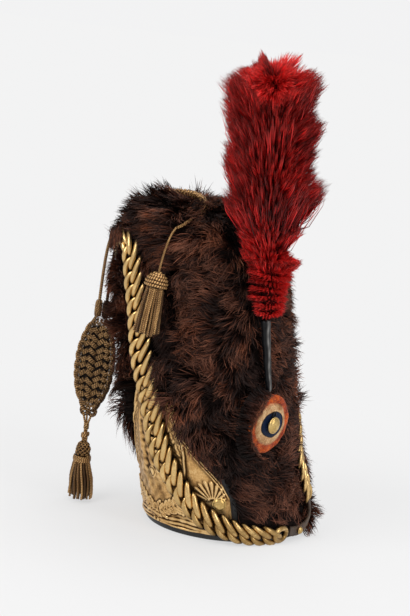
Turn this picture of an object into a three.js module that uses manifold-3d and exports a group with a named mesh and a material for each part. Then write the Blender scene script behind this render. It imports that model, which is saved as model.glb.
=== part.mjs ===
// A tall fur cap of the full-dress kind: a leather body under deep fur, leaning forward over an
// embossed brass plate, with a curb chin chain, a painted cockade, a plume on a stem, a plaited cord
// over the top, a flat plaited flounder hanging at the right and a small tassel at the front.
// Millimetres, +Z up, the front faces -Y and the wearer's left is +X. The cap stands on its rim at Z = 0.
import * as THREE from 'three';
import Module from 'manifold-3d';
import { mergeVertices } from 'three/addons/utils/BufferGeometryUtils.js';

const wasm = await Module();
wasm.setup();

// ---------------------------------------------------------------- driving dimensions
const WALL = 2.5; // leather wall of the body
const FUR_GAP = 0.35; // between the leather and the fur's backing
const SIDES = 32; // facets round the body
const FUR_FOOT = 8; // the fur starts this high, and bare leather shows below it
const PLATE_GAP = 1.1; // between leather and plate
const PLATE_THICK = 1.8;
const PLATE_BEAD = 0.9; // the raised border stands this proud
const CHAIN_PITCH = 13.4; // length of chain that one link takes up
const CHAIN_HALF_THICK = 4.2;
const CHAIN_SLANT = 3.2; // how far a link's outer edge trails its inner edge
const CHAIN_GAP = 0.35;
const STRAP_HALF_WIDE = 6, STRAP_HALF_THICK = 1.5;
const COCKADE_R = 33.5;
const BUTTON_R = 9.4;
const BOSS_R = 8.2, BOSS_HIGH = 2.5;
const BEAD_FOOT = 54; // the side borders are raised above this height only
const STUD_R = 4.6, STUD_HIGH = 3.2;
const BRAID_R = 4.6;
const FLOUNDER_HALF_WIDE = 24, FLOUNDER_HALF_THICK = 4.6;
const FLOUNDER_CORD_R = 1.7;
const FRONT_CORD_R = 1.1;
const FIT = 0.35; // gap where two pieces meet

// The frame's origin is under the middle of the cap's own box, so everything is moved by this much.
const SHIFT = { x: -29, y: 46.7 };

// ---------------------------------------------------------------- tables
const rowsOf = (columns, rows) => rows.map((r) => Object.fromEntries(columns.map((c, i) => [c, r[i]])));

// Leather body: level ovals. y is the middle of the oval, a its half width, b its half length,
// crown how far the wall there has turned towards level.
const BODY = rowsOf(['z', 'y', 'a', 'b', 'crown'], [
  [0, -2, 82, 98, 0],
  [8, -4.1, 82, 98, 0],
  [30, -10, 82, 98, 0],
  [60, -21, 82, 96, 0],
  [90, -33, 82, 93, 0],
  [120, -43, 82, 90, 0],
  [150, -50, 81.5, 87, 0],
  [200, -60, 80, 83, 0],
  [250, -71, 79, 79, 0],
  [300, -84, 77, 75, 0],
  [330, -90, 73, 70, 0.3],
  [350, -94, 64, 61, 0.8],
  [358, -95, 50, 47, 1],
]);
const BODY_TOP = { y: -95, z: 361 };

// Outer form of the fur, level ovals again.
const FUR = rowsOf(['z', 'y', 'a', 'b'], [
  [8, 3, 90, 103],
  [30, -5, 92, 103],
  [60, -16, 93, 102],
  [90, -33, 95, 104],
  [120, -50, 98, 106],
  [150, -60, 99, 106],
  [180, -67, 99, 105],
  [210, -74, 97, 103],
  [240, -80, 95, 101],
  [270, -87, 94, 99],
  [300, -96, 93, 98],
  [325, -102, 91, 95],
  [345, -105, 85, 89],
  [360, -107, 77, 81],
  [370, -108, 66, 70],
  [376, -108, 50, 53],
]);
const FUR_TOP = { y: -108, z: 380 };

// Front plate: half its width round the body at each height.
const PLATE = rowsOf(['z', 'half'], [
  [7, 91], [22, 92], [40, 92.5], [54, 92], [68, 86], [80, 77], [96, 63], [106, 54], [115, 46.5],
  [125, 44], [137, 40], [149, 35.5], [160, 29], [168, 21], [174, 10],
]);
const PLATE_ACROSS = [-1, -0.93, -0.87, -0.72, -0.57, -0.42, -0.28, -0.14, 0, 0.14, 0.28, 0.42, 0.57, 0.72, 0.87, 0.93, 1];

// The chin chain's route, from its end link at the left rear, along the rim, over the plate and up the
// front, then down round the right side and the back to the strap again. The angle is taken round the
// body's oval from the wearer's left, stand is how far the chain's middle is off the leather, half is
// half the chain's width.
const CHAIN = rowsOf(['angle', 'z', 'stand', 'half'], [
  [9, 12.4, 8.4, 8.2],
  [-2, 12.6, 8.4, 10.8],
  [-13, 12.8, 8.6, 11.8],
  [-28.2, 17.5, 10.2, 12],
  [-43.8, 32.5, 10.8, 12],
  [-55.9, 52.6, 9, 11.8],
  [-64.9, 79, 8.8, 11.4],
  [-73.7, 110.5, 8.8, 10.8],
  [-80.4, 141.6, 10, 10.3],
  [-80.6, 163, 17.5, 10],
  [-80.8, 184, 24.8, 9.7],
  [-82, 206, 29.2, 9.5],
  [-82.6, 227.3, 31.6, 9.2],
  [-84.4, 264, 33.2, 8.8],
  [-86.4, 300, 35.2, 8.4],
  [-89.6, 320, 35.4, 8.1],
  [-98, 329, 33.2, 8],
  [-109, 325, 29, 8],
  [-121, 313, 25.6, 8],
  [-135, 300, 22, 8],
  [-152, 286, 18.4, 8],
  [-173.5, 266, 15.4, 8],
  [-205.5, 238, 13.4, 8],
  [-237, 209, 12.4, 8],
  [-270, 177, 11.8, 8],
  [-297, 147, 12, 8],
  [-314, 121, 12.6, 8],
  [-324.5, 97, 13.6, 8],
  [-327, 74, 16, 8],
  [-326.4, 52, 17, 8],
]);
// Where the chain is parted into solids, as shares of its length, with each one's name.
const CHAIN_RUNS = rowsOf(['name', 'from', 'to'], [
  ['chain_rim', 0, 0.13],
  ['chain_plate', 0.13, 0.26],
  ['chain_front', 0.26, 0.44],
  ['chain_right', 0.44, 0.62],
  ['chain_back', 0.62, 0.81],
  ['chain_left', 0.81, 1],
]);

// Leather strap that joins the chain's two ends, in the same measures.
const STRAP = rowsOf(['angle', 'z', 'stand'], [
  [13.2, 11.6, 8.2], [20, 10.4, 8], [26, 10.6, 8.6], [31, 15, 11], [33.4, 24, 14.4], [33.8, 34, 16.4], [33.6, 46.5, 17],
]);
const STUD_AT = { angle: 23.5, z: 10.4, stand: 10.5 };
const BOSS_AT = { angle: -37, z: 45.5, stand: PLATE_GAP + PLATE_THICK + FIT + 0.5 };

// Cockade: a lathe profile, radius and height, of three steps that rise to the middle.
const COCKADE_AT = { x: 101.4, y: -54.6, z: 147.8, turn: 9 };
const COCKADE_PROFILE = rowsOf(['r', 'h'], [
  [0, 0], [COCKADE_R - 1.5, 0], [COCKADE_R, 1.2], [COCKADE_R - 0.8, 2.6], [25.5, 3.6], [24.8, 4.5],
  [16.4, 5.4], [15.6, 6.3], [9, 7], [0, 7.2],
]);
const BUTTON_PROFILE = rowsOf(['r', 'h'], [
  [0, 0], [4.2, 0], [4.6, 1.2], [BUTTON_R - 0.4, 1.9], [BUTTON_R, 2.7], [BUTTON_R - 1.4, 4.4], [BUTTON_R - 4.4, 5.8], [0, 6.6],
]);

// Plume stem and plume: middle line and radius at each height.
const STEM = rowsOf(['x', 'y', 'z', 'r'], [
  [103, -60.6, 185, 3.2], [103.1, -66, 204, 3.7], [103.3, -74, 234, 4.6], [103.5, -81.8, 264.4, 5.3],
]);
const PLUME = rowsOf(['x', 'y', 'z', 'r'], [
  [103.6, -78.5, 266.5, 7], [104, -78.5, 274, 15], [105, -81.5, 290, 20.5], [106, -86, 310, 25], [107, -91, 331, 28.5],
  [107.6, -98, 350, 29.5], [108, -101, 364, 33], [108.6, -106, 384, 39], [109, -106.5, 400, 44.5], [109, -107.5, 417, 47],
  [109, -113, 438, 47], [109, -117.5, 462, 46.5], [109, -121.5, 485, 46.5], [109, -124, 507, 48], [109, -126, 524, 46],
  [109, -128.5, 537, 37], [109, -130, 544, 24],
]);
const PLUME_SIDES = 15;
const PLUME_TIP = { x: 109, y: -131, z: 548 };

// Plaited cord over the top, let into the fur, from the right shoulder to the front.
const BRAID = rowsOf(['x', 'y', 'z'], [
  [-86, -139.5, 328], [-80, -133, 346.5], [-68, -122, 364.5], [-52, -111, 374.5], [-32, -106, 379], [-8, -108, 380.5],
  [14, -115, 379.5], [32, -126, 376], [42, -141, 371], [48, -158, 365.6], [51.5, -172.5, 359],
]);

// Front tassel, hanging on its thin cord.
const FRONT_CORD = rowsOf(['x', 'y', 'z'], [
  [52.6, -180.4, 352.6], [53.6, -186, 346], [54, -189.6, 338], [53.2, -192.2, 326], [52, -193.6, 313], [51.2, -194.2, 303.4],
]);
const FRONT_HANG = { x: 51, y: -194.4, z: 303 };
const FRONT_LEAN = 4; // degrees that the tassel leans away from the cockade's side
const FRONT_HEAD = rowsOf(['r', 'z'], [
  [0, 0], [3.2, 0], [4.6, -1.3], [9.6, -3.9], [13.2, -8.4], [14, -12.9], [12.6, -17.3], [9, -18.5], [0, -18.5],
]);
const FRONT_SKIRT = rowsOf(['r', 'z'], [
  [0, -18.9], [9, -18.9], [10.2, -25], [11, -38], [12, -52], [13, -64], [12.4, -67], [0, -67],
]);

// Flounder: two cords from the right shoulder, two wound necks, the flat plaited oval, its short drop
// and its tassel. They hang in one upright line.
const HANG = { x: -106.7, y: -139.4, turn: 40 };
const NECK_APART = 4.4; // half the distance between the two cords
const FLOUNDER_CORD = rowsOf(['out', 'side', 'z'], [
  [-14.4, -2.4, 324.6], [-10.6, -1.8, 321.6], [-6.8, -1, 315.6], [-3.6, -0.4, 306.5], [-1.6, 0, 294], [-0.4, 0, 278], [0, 0, 260], [0, 0, 238.4],
]);
const NECK = rowsOf(['r', 'z'], [
  [0, 238], [2.6, 238], [3.7, 235], [3.9, 228], [3.6, 220], [2.4, 217.4], [0, 217.4],
]);
const FLOUNDER = rowsOf(['z', 'half'], [
  [217, 6], [213, 10.5], [207, 14.5], [198, 18.4], [186, 21.8], [172, 23.7], [158, 24], [144, 22.8], [131, 20], [121, 15.8], [113, 11.4], [107, 7.6],
]);
const DROP = rowsOf(['r', 'z'], [
  [0, 106.6], [4.6, 106.6], [3.4, 100], [2.8, 90], [3, 84], [5.2, 80], [5.4, 75], [3, 71.4], [0, 71.4],
]);
const LOW_HEAD = rowsOf(['r', 'z'], [
  [0, 71], [3, 71], [6.8, 67.5], [8.6, 62], [8.4, 57], [8.8, 54.6], [10.6, 53], [10.6, 48], [9.6, 46.6], [0, 46.6],
]);
const LOW_SKIRT = rowsOf(['r', 'z'], [
  [0, 46.2], [9.4, 46.2], [10.8, 38], [12.2, 24], [14.6, 8], [15.4, 3], [14.4, 1.2], [0, 1.2],
]);

// ---------------------------------------------------------------- helpers
const deg = Math.PI / 180;
const V = (x, y, z) => new THREE.Vector3(x, y, z);

// A row's values at any height, straight between rows.
function at(rows, z) {
  let i = rows.findIndex((r) => r.z >= z);
  if (i < 0) return rows[rows.length - 1];
  if (i === 0) return rows[0];
  const lo = rows[i - 1], hi = rows[i], k = (z - lo.z) / (hi.z - lo.z);
  return Object.fromEntries(Object.keys(lo).map((c) => [c, lo[c] + (hi[c] - lo[c]) * k]));
}

const onOval = (o, angle, z, off = 0) =>
  V((o.a + off) * Math.cos(angle), o.y + (o.b + off) * Math.sin(angle), z);

const ovalRing = (o, off, z, n = SIDES) =>
  Array.from({ length: n }, (_, i) => onOval(o, (2 * Math.PI * i) / n, z, off));

// A point at an angle and height, off the leather, and the way out there.
function offBody({ angle, z, stand }) {
  const o = at(BODY, z), t = angle * deg;
  const out = V(Math.cos(t) / o.a, Math.sin(t) / o.b, 0).normalize();
  return { point: onOval(o, t, z, stand), out };
}

// Closed geometry from rings of equal length, with a point or a flat fan at each end.
function loft(rings, first, last) {
  const n = rings[0].length, verts = rings.flat(), idx = [];
  const mean = (r) => r.reduce((s, p) => s.add(p), V(0, 0, 0)).multiplyScalar(1 / n);
  const a = verts.push((first ?? mean(rings[0])).clone()) - 1;
  const b = verts.push((last ?? mean(rings[rings.length - 1])).clone()) - 1;
  const end = (rings.length - 1) * n;
  for (let i = 0; i < n; i++) {
    const j = (i + 1) % n;
    idx.push(a, j, i);
    for (let k = 0; k < rings.length - 1; k++) {
      const p = k * n + i, q = k * n + j;
      idx.push(p, q, q + n, p, q + n, p + n);
    }
    idx.push(b, end + i, end + j);
  }
  return geometryOf(verts, idx);
}

function geometryOf(verts, idx) {
  let six = 0;
  for (let i = 0; i < idx.length; i += 3)
    six += verts[idx[i]].dot(V(0, 0, 0).crossVectors(verts[idx[i + 1]], verts[idx[i + 2]]));
  if (six < 0) for (let i = 0; i < idx.length; i += 3) [idx[i], idx[i + 1]] = [idx[i + 1], idx[i]];
  const g = new THREE.BufferGeometry();
  g.setAttribute('position', new THREE.Float32BufferAttribute(verts.flatMap((p) => [p.x, p.y, p.z]), 3));
  g.setIndex(idx);
  g.computeVertexNormals();
  return g;
}

// A curved sheet with a front, a back and edges, from two functions of its grid.
function sheet(nu, nv, front, back) {
  const verts = [], idx = [], w = nu + 1, id = (s, i, j) => s * w * (nv + 1) + j * w + i;
  for (const f of [front, back]) for (let j = 0; j <= nv; j++) for (let i = 0; i <= nu; i++) verts.push(f(i, j));
  const quad = (a, b, c, d) => idx.push(a, b, c, a, c, d);
  for (let j = 0; j < nv; j++) for (let i = 0; i < nu; i++) {
    quad(id(0, i, j), id(0, i + 1, j), id(0, i + 1, j + 1), id(0, i, j + 1));
    quad(id(1, i, j), id(1, i, j + 1), id(1, i + 1, j + 1), id(1, i + 1, j));
  }
  for (let i = 0; i < nu; i++) {
    quad(id(0, i, 0), id(1, i, 0), id(1, i + 1, 0), id(0, i + 1, 0));
    quad(id(0, i, nv), id(0, i + 1, nv), id(1, i + 1, nv), id(1, i, nv));
  }
  for (let j = 0; j < nv; j++) {
    quad(id(0, 0, j), id(0, 0, j + 1), id(1, 0, j + 1), id(1, 0, j));
    quad(id(0, nu, j), id(1, nu, j), id(1, nu, j + 1), id(0, nu, j + 1));
  }
  return geometryOf(verts, idx);
}

function solidOf(geometry) {
  const g = (geometry.index ? geometry.toNonIndexed() : geometry.clone());
  for (const name of Object.keys(g.attributes)) if (name !== 'position') g.deleteAttribute(name);
  const m = mergeVertices(g, 1e-4);
  return new wasm.Manifold(new wasm.Mesh({
    numProp: 3,
    vertProperties: new Float32Array(m.attributes.position.array),
    triVerts: new Uint32Array(m.index.array),
  }));
}

function geometryFrom(solid) {
  const m = solid.getMesh();
  const g = new THREE.BufferGeometry();
  g.setAttribute('position', new THREE.Float32BufferAttribute(m.vertProperties, 3));
  g.setIndex([...m.triVerts]);
  g.computeVertexNormals();
  return g;
}

// The largest piece of a solid that a cut may have left in several.
const largest = (solid) => solid.decompose().sort((p, q) => q.volume() - p.volume())[0];

const finish = (color, roughness, metalness) => new THREE.MeshStandardMaterial({ color, roughness, metalness });
const LOOK = {
  leather: [0x17130f, 0.5, 0], fur: [0x2e1812, 0.95, 0], brass: [0xb08a45, 0.42, 1], strap: [0x4a2f1c, 0.6, 0],
  stud: [0xb89550, 0.35, 1], cockade: [0xc6482a, 0.5, 0], button: [0xb59252, 0.35, 1], stem: [0x16181b, 0.2, 0.1],
  plume: [0xa81620, 0.95, 0], cord: [0x8b6a35, 0.8, 0], bullion: [0xa37a3c, 0.6, 0.3],
};

const cap = new THREE.Group();
cap.name = 'fur_cap';
cap.position.set(SHIFT.x, SHIFT.y, 0);

function piece(name, geometry, look, parent = cap) {
  const mesh = new THREE.Mesh(geometry, finish(...LOOK[look]));
  mesh.name = name;
  parent.add(mesh);
  return mesh;
}

const latheOf = (rows, segments, h = 'z', flip = false) =>
  new THREE.LatheGeometry((flip ? [...rows].reverse() : rows).map((p) => new THREE.Vector2(p.r, p[h])), segments);

// A lathed piece standing upright at x, y.
function upright(name, rows, segments, look, { x, y, z = 0 }, parent = cap) {
  const mesh = piece(name, latheOf(rows, segments, 'z', true), look, parent);
  mesh.rotation.x = Math.PI / 2;
  mesh.position.set(x, y, z);
  return mesh;
}

// A round cord along points.
function cordAlong(points, r, sides, steps) {
  const shape = new THREE.Shape(Array.from({ length: sides }, (_, i) => {
    const t = (2 * Math.PI * i) / sides;
    return new THREE.Vector2(r * Math.cos(t), r * Math.sin(t));
  }));
  return new THREE.ExtrudeGeometry(shape, {
    steps, bevelEnabled: false, extrudePath: new THREE.CatmullRomCurve3(points, false, 'centripetal'),
  });
}

// ---------------------------------------------------------------- leather body and fur
const outerRings = BODY.map((o) => ovalRing(o, 0, o.z));
const innerRings = BODY.map((o) => ovalRing(o, -WALL, o.z - WALL * o.crown)).reverse();
piece('shell', loft([...[...outerRings].reverse(), ...innerRings.reverse()],
  V(0, BODY_TOP.y, BODY_TOP.z), V(0, BODY_TOP.y, BODY_TOP.z - WALL)), 'leather');

const overLeather = BODY.filter((o) => o.z >= FUR_FOOT);
const furForm = (off) => [...FUR].reverse().map((o) => ovalRing(o, off, o.z + (o.z > 340 ? off : 0)));
const furLining = overLeather.map((o) => ovalRing(o, FUR_GAP, o.z + FUR_GAP * o.crown));
let fur = solidOf(loft([...furForm(0), ...furLining],
  V(0, FUR_TOP.y, FUR_TOP.z), V(0, BODY_TOP.y, BODY_TOP.z + FUR_GAP * 1.2)));
const furEnvelope = solidOf(loft(furForm(0.6), V(0, FUR_TOP.y, FUR_TOP.z + 0.6)));

// ---------------------------------------------------------------- plate
// The angle on an oval that lies a given length round it from the front.
function angleAt(o, off, along) {
  let t = -Math.PI / 2, left = Math.abs(along);
  const dt = 0.004 * Math.sign(along);
  while (left > 0) {
    const step = Math.hypot((o.a + off) * Math.sin(t), (o.b + off) * Math.cos(t)) * Math.abs(dt);
    t += dt * Math.min(1, left / step);
    left -= step;
  }
  return t;
}
const platePoint = (row, u, off, grow = 0) => {
  const o = at(BODY, row.z);
  return onOval(o, angleAt(o, PLATE_GAP, u * (row.half + grow)), row.z, off);
};
const bead = (i, j) =>
  ((i <= 1 || i >= PLATE_ACROSS.length - 2) && PLATE[j].z >= BEAD_FOOT) || j === 0 ? PLATE_BEAD : 0;
piece('front_plate', sheet(PLATE_ACROSS.length - 1, PLATE.length - 1,
  (i, j) => platePoint(PLATE[j], PLATE_ACROSS[i], PLATE_GAP + PLATE_THICK + bead(i, j)),
  (i, j) => platePoint(PLATE[j], PLATE_ACROSS[i], PLATE_GAP)), 'brass');
const plateWindow = PLATE.map((r, i) => ({ ...r, z: r.z + (i === PLATE.length - 1 ? 2 : i === 0 ? -4 : 0) }));
fur = fur.subtract(solidOf(sheet(PLATE_ACROSS.length - 1, PLATE.length - 1,
  (i, j) => platePoint(plateWindow[j], PLATE_ACROSS[i], 70, 1.2),
  (i, j) => platePoint(plateWindow[j], PLATE_ACROSS[i], 0.1, 1.2))));

// ---------------------------------------------------------------- chin chain and strap
const stationsOf = (rows) => {
  const placed = rows.map(offBody);
  const curve = new THREE.CatmullRomCurve3(placed.map((p) => p.point), false, 'centripetal');
  curve.arcLengthDivisions = 1200;
  const lengths = curve.getLengths(1200), total = lengths[1200];
  // Each row's own share of the length, to read its width and its way out between rows.
  const share = rows.map((_, i) => lengths[Math.round((1200 * i) / (rows.length - 1))] / total);
  const read = (u) => {
    let i = share.findIndex((s) => s > u);
    i = i < 0 ? rows.length - 1 : Math.max(i, 1);
    const k = Math.min(1, Math.max(0, (u - share[i - 1]) / (share[i] - share[i - 1])));
    const half = (rows[i - 1].half ?? 0) * (1 - k) + (rows[i].half ?? 0) * k;
    const out = placed[i - 1].out.clone().lerp(placed[i].out, k).normalize();
    const point = curve.getPointAt(u), along = curve.getTangentAt(u);
    out.addScaledVector(along, -out.dot(along)).normalize();
    return { point, along, out, side: V(0, 0, 0).crossVectors(along, out), half };
  };
  return { read, total };
};
// A section given as [side, out, along] shares, placed at a station.
const placeSection = (s, section) => section.map(([p, q, r]) =>
  s.point.clone().addScaledVector(s.side, p).addScaledVector(s.out, q).addScaledVector(s.along, r));

const chain = stationsOf(CHAIN);
const LINKS = Math.round(chain.total / CHAIN_PITCH);
const LINK_STEPS = rowsOf(['phase', 'wide', 'thick'], [[0, 0.7, 0.74], [0.3, 1, 1], [0.7, 0.98, 0.98]]);
for (const run of CHAIN_RUNS) {
  const from = Math.round(run.from * LINKS), to = Math.round(run.to * LINKS), rings = [];
  const pad = CHAIN_GAP / 2 / chain.total;
  for (let k = from; k <= to; k++) for (const step of LINK_STEPS) {
    if (k === to && step.phase > 0) break;
    const u = (k + step.phase) / LINKS;
    const s = chain.read(Math.min(Math.max(u, from / LINKS + pad), to / LINKS - pad));
    const w = s.half * step.wide, t = CHAIN_HALF_THICK * step.thick;
    const slant = CHAIN_SLANT / s.half;
    const section = [[1, 0.45], [0.5, 1], [-0.5, 1], [-1, 0.45], [-1, -0.45], [-0.5, -0.8], [0.5, -0.8], [1, -0.45]];
    const ends = (k === from && step.phase === 0) || k === to;
    rings.push(placeSection(s, section.map(([p, q]) => [p * w, q * t, ends ? 0 : p * w * slant])));
  }
  piece(run.name, loft(rings), 'brass');
}
// The groove that the chain lies in, in the fur.
const grooveStations = (path, half, inner, outer, steps) => Array.from({ length: steps + 1 }, (_, i) => {
  const s = path.read(i / steps), w = half(s);
  return placeSection(s, [[w, -inner, 0], [w, outer, 0], [-w, outer, 0], [-w, -inner, 0]]);
});
const pushEnds = (rings, by) => {
  const move = (r, n) => {
    const d = V(0, 0, 0).subVectors(r[0], n[0]).normalize().multiplyScalar(by);
    r.forEach((p) => p.add(d));
  };
  move(rings[0], rings[1]);
  move(rings[rings.length - 1], rings[rings.length - 2]);
  return rings;
};
fur = fur.subtract(solidOf(loft(pushEnds(
  grooveStations(chain, (s) => s.half + 2.2, CHAIN_HALF_THICK + 1.4, 34, 76), 1))));

const strap = stationsOf(STRAP);
piece('chain_strap', loft(Array.from({ length: 15 }, (_, i) => placeSection(strap.read(i / 14), [
  [STRAP_HALF_WIDE, -STRAP_HALF_THICK, 0], [STRAP_HALF_WIDE, STRAP_HALF_THICK, 0],
  [-STRAP_HALF_WIDE, STRAP_HALF_THICK, 0], [-STRAP_HALF_WIDE, -STRAP_HALF_THICK, 0],
]))), 'strap');
fur = fur.subtract(solidOf(loft(pushEnds(
  grooveStations(strap, () => STRAP_HALF_WIDE + 0.8, STRAP_HALF_THICK + 0.6, 30, 20), 1))));

// Domes set on the strap and beside the plate: a lathe with its axis turned outwards.
function domed(name, spot, r, high, look) {
  const { point } = offBody(spot);
  const up = offBody({ ...spot, z: spot.z + 4 }).point.sub(offBody({ ...spot, z: spot.z - 4 }).point);
  const round = offBody({ ...spot, angle: spot.angle + 2 }).point.sub(offBody({ ...spot, angle: spot.angle - 2 }).point);
  const out = V(0, 0, 0).crossVectors(round, up).normalize();
  const rows = rowsOf(['r', 'z'], [[0, 0], [r, 0], [r, high * 0.25], [r * 0.86, high * 0.62], [r * 0.5, high * 0.92], [0, high]]);
  const mesh = piece(name, latheOf(rows, 16), look);
  mesh.quaternion.setFromUnitVectors(V(0, 1, 0), out);
  mesh.position.copy(point);
  return mesh;
}
domed('strap_stud', { ...STUD_AT, stand: STUD_AT.stand + FIT }, STUD_R, STUD_HIGH, 'stud');
domed('side_boss', BOSS_AT, BOSS_R, BOSS_HIGH, 'stud');

// ---------------------------------------------------------------- cockade
const cockadeMount = new THREE.Group();
cockadeMount.position.set(COCKADE_AT.x, COCKADE_AT.y, COCKADE_AT.z);
cockadeMount.rotation.set(0, 0, -Math.PI / 2 + COCKADE_AT.turn * deg);
cap.add(cockadeMount);
piece('cockade', latheOf(COCKADE_PROFILE, 28, 'h'), 'cockade', cockadeMount);
const button = piece('cockade_button', latheOf(BUTTON_PROFILE, 18, 'h'), 'button', cockadeMount);
button.position.y = COCKADE_PROFILE[COCKADE_PROFILE.length - 1].h + FIT;

const cockadePocket = latheOf(rowsOf(['r', 'h'], [[0, -0.6], [COCKADE_R + 0.8, -0.6], [COCKADE_R + 0.8, 20], [0, 20]]), 28, 'h');
cockadeMount.updateMatrix();
cockadePocket.applyMatrix4(cockadeMount.matrix);
fur = fur.subtract(solidOf(cockadePocket));

// ---------------------------------------------------------------- plume
const roundRing = (p, n) => Array.from({ length: n }, (_, i) => {
  const t = (2 * Math.PI * i) / n;
  return V(p.x + p.r * Math.cos(t), p.y + p.r * Math.sin(t), p.z);
});
piece('plume_stem', loft(STEM.map((p) => roundRing(p, 12))), 'stem');
const plume = solidOf(loft(PLUME.map((p) => roundRing(p, PLUME_SIDES)), null, V(PLUME_TIP.x, PLUME_TIP.y, PLUME_TIP.z)));
piece('plume', geometryFrom(largest(plume.subtract(furEnvelope))), 'plume');

// ---------------------------------------------------------------- cord over the top
const braidPoints = BRAID.map((p) => V(p.x, p.y, p.z));
piece('top_braid', cordAlong(braidPoints, BRAID_R, 8, 26), 'cord');
const tail = (a, b, by) => a.clone().add(V(0, 0, 0).subVectors(a, b).normalize().multiplyScalar(by));
const longer = [tail(braidPoints[0], braidPoints[1], 1.5), ...braidPoints.slice(1, -1),
  tail(braidPoints[braidPoints.length - 1], braidPoints[braidPoints.length - 2], 1.5)];
fur = fur.subtract(solidOf(cordAlong(longer, BRAID_R + 0.9, 8, 26)));

piece('fur_cover', geometryFrom(largest(fur)), 'fur');

// ---------------------------------------------------------------- front tassel
piece('front_cord', cordAlong(FRONT_CORD.map((p) => V(p.x, p.y, p.z)), FRONT_CORD_R, 8, 16), 'bullion');
const frontTassel = new THREE.Group();
frontTassel.position.set(FRONT_HANG.x, FRONT_HANG.y, FRONT_HANG.z);
frontTassel.rotation.set(-FRONT_LEAN * deg * 0.74, FRONT_LEAN * deg * 0.67, 0);
cap.add(frontTassel);
upright('front_tassel_head', FRONT_HEAD, 16, 'bullion', { x: 0, y: 0 }, frontTassel);
upright('front_tassel_skirt', FRONT_SKIRT, 16, 'bullion', { x: 0, y: 0 }, frontTassel);

// ---------------------------------------------------------------- flounder
const across = V(Math.cos(HANG.turn * deg), Math.sin(HANG.turn * deg), 0);
const facing = V(Math.sin(HANG.turn * deg), -Math.cos(HANG.turn * deg), 0);
for (const [tag, s] of [['a', -1], ['b', 1]]) {
  const dx = across.clone().multiplyScalar(s * NECK_APART);
  const points = FLOUNDER_CORD.map((p) =>
    V(HANG.x - p.out, HANG.y - p.side, p.z).add(dx));
  piece(`flounder_cord_${tag}`, cordAlong(points, FLOUNDER_CORD_R, 8, 20), 'cord');
  upright(`flounder_neck_${tag}`, NECK, 12, 'bullion', { x: HANG.x + dx.x, y: HANG.y + dx.y });
}
const flatRing = (row) => {
  const w = row.half, t = FLOUNDER_HALF_THICK * Math.min(1, 0.55 + 0.45 * (w / FLOUNDER_HALF_WIDE));
  return [[1, 0], [0.82, 0.8], [0.4, 1], [-0.4, 1], [-0.82, 0.8], [-1, 0], [-0.82, -0.8], [-0.4, -1], [0.4, -1], [0.82, -0.8]]
    .map(([p, q]) => V(HANG.x, HANG.y, row.z).addScaledVector(across, p * w).addScaledVector(facing, q * t));
};
piece('flounder', loft(FLOUNDER.map(flatRing)), 'cord');
upright('flounder_drop', DROP, 12, 'bullion', HANG);
upright('flounder_tassel_head', LOW_HEAD, 16, 'bullion', HANG);
upright('flounder_tassel_skirt', LOW_SKIRT, 16, 'bullion', HANG);

export default cap;
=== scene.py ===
# A tall full-dress fur cap: leather body, deep fur, embossed brass plate, curb chin chain, painted
# cockade, plume on a stem, plaited cord over the top, plaited flounder and front tassel.
# Tables and paths are in millimetres in the cap's own measure and are moved into the frame by SHIFT.
import bpy, math
import numpy as np
from mathutils import Vector, Matrix
from mathutils.kdtree import KDTree

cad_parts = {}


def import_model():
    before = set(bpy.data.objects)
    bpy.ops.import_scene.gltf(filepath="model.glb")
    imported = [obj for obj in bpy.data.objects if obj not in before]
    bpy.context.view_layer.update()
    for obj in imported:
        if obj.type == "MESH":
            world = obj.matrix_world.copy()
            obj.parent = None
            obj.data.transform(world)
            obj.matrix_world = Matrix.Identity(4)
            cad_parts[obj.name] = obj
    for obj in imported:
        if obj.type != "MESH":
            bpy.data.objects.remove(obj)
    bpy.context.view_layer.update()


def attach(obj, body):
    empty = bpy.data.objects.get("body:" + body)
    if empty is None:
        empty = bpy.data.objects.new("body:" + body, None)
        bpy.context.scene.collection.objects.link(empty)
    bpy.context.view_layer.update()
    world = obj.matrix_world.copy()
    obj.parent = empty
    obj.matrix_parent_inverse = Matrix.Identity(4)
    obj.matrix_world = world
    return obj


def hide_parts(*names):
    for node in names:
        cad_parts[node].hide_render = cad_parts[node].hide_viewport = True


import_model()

SHIFT = np.array([-29.0, 46.7, 0.0])
TAU = 2 * math.pi


def world(p):
    return (np.asarray(p, float) + SHIFT) * 0.001


def rng(seed):
    return np.random.default_rng(seed)


def lerp(a, b, t):
    return a + (b - a) * t


def smooth(lo, hi, x):
    t = np.clip((np.asarray(x, float) - lo) / (hi - lo), 0, 1)
    return t * t * (3 - 2 * t)


def unit(v):
    return v / np.maximum(np.linalg.norm(v, axis=-1, keepdims=True), 1e-9)


def ripple(p, size, seed, count=7):
    """Smooth noise of about -1 to 1 over points p, with features of about size."""
    r = rng(seed)
    k = r.normal(size=(count, p.shape[-1])) / size * 1.6
    ph = r.uniform(0, TAU, count)
    return np.sin(p @ k.T + ph).sum(-1) / math.sqrt(count) * 0.9


# ---------------------------------------------------------------- camera
EYE = np.array([1453.81, -1349.02, 605.82])
LOOK = np.array([-0.74081055, 0.64722623, -0.17971626])
UP = np.array([-0.22917243, 0.0079633, 0.97335327])
right = np.cross(LOOK, UP); right /= np.linalg.norm(right)
up = np.cross(right, LOOK)
cam_data = bpy.data.cameras.new("camera")
cam = bpy.data.objects.new("camera", cam_data)
bpy.context.scene.collection.objects.link(cam)
place = Matrix.Identity(4)
for i in range(3):
    place[i][0], place[i][1], place[i][2] = right[i], up[i], -LOOK[i]
    place[i][3] = float(world(EYE)[i])
SIDEWAYS = unit(np.cross(LOOK, UP))
cam.matrix_world = place
cam_data.sensor_width = 36.0
cam_data.lens = 1761.0 / 616 * 36.0
cam_data.clip_start, cam_data.clip_end = 0.05, 60
bpy.context.scene.camera = cam

# ---------------------------------------------------------------- meshes


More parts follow.
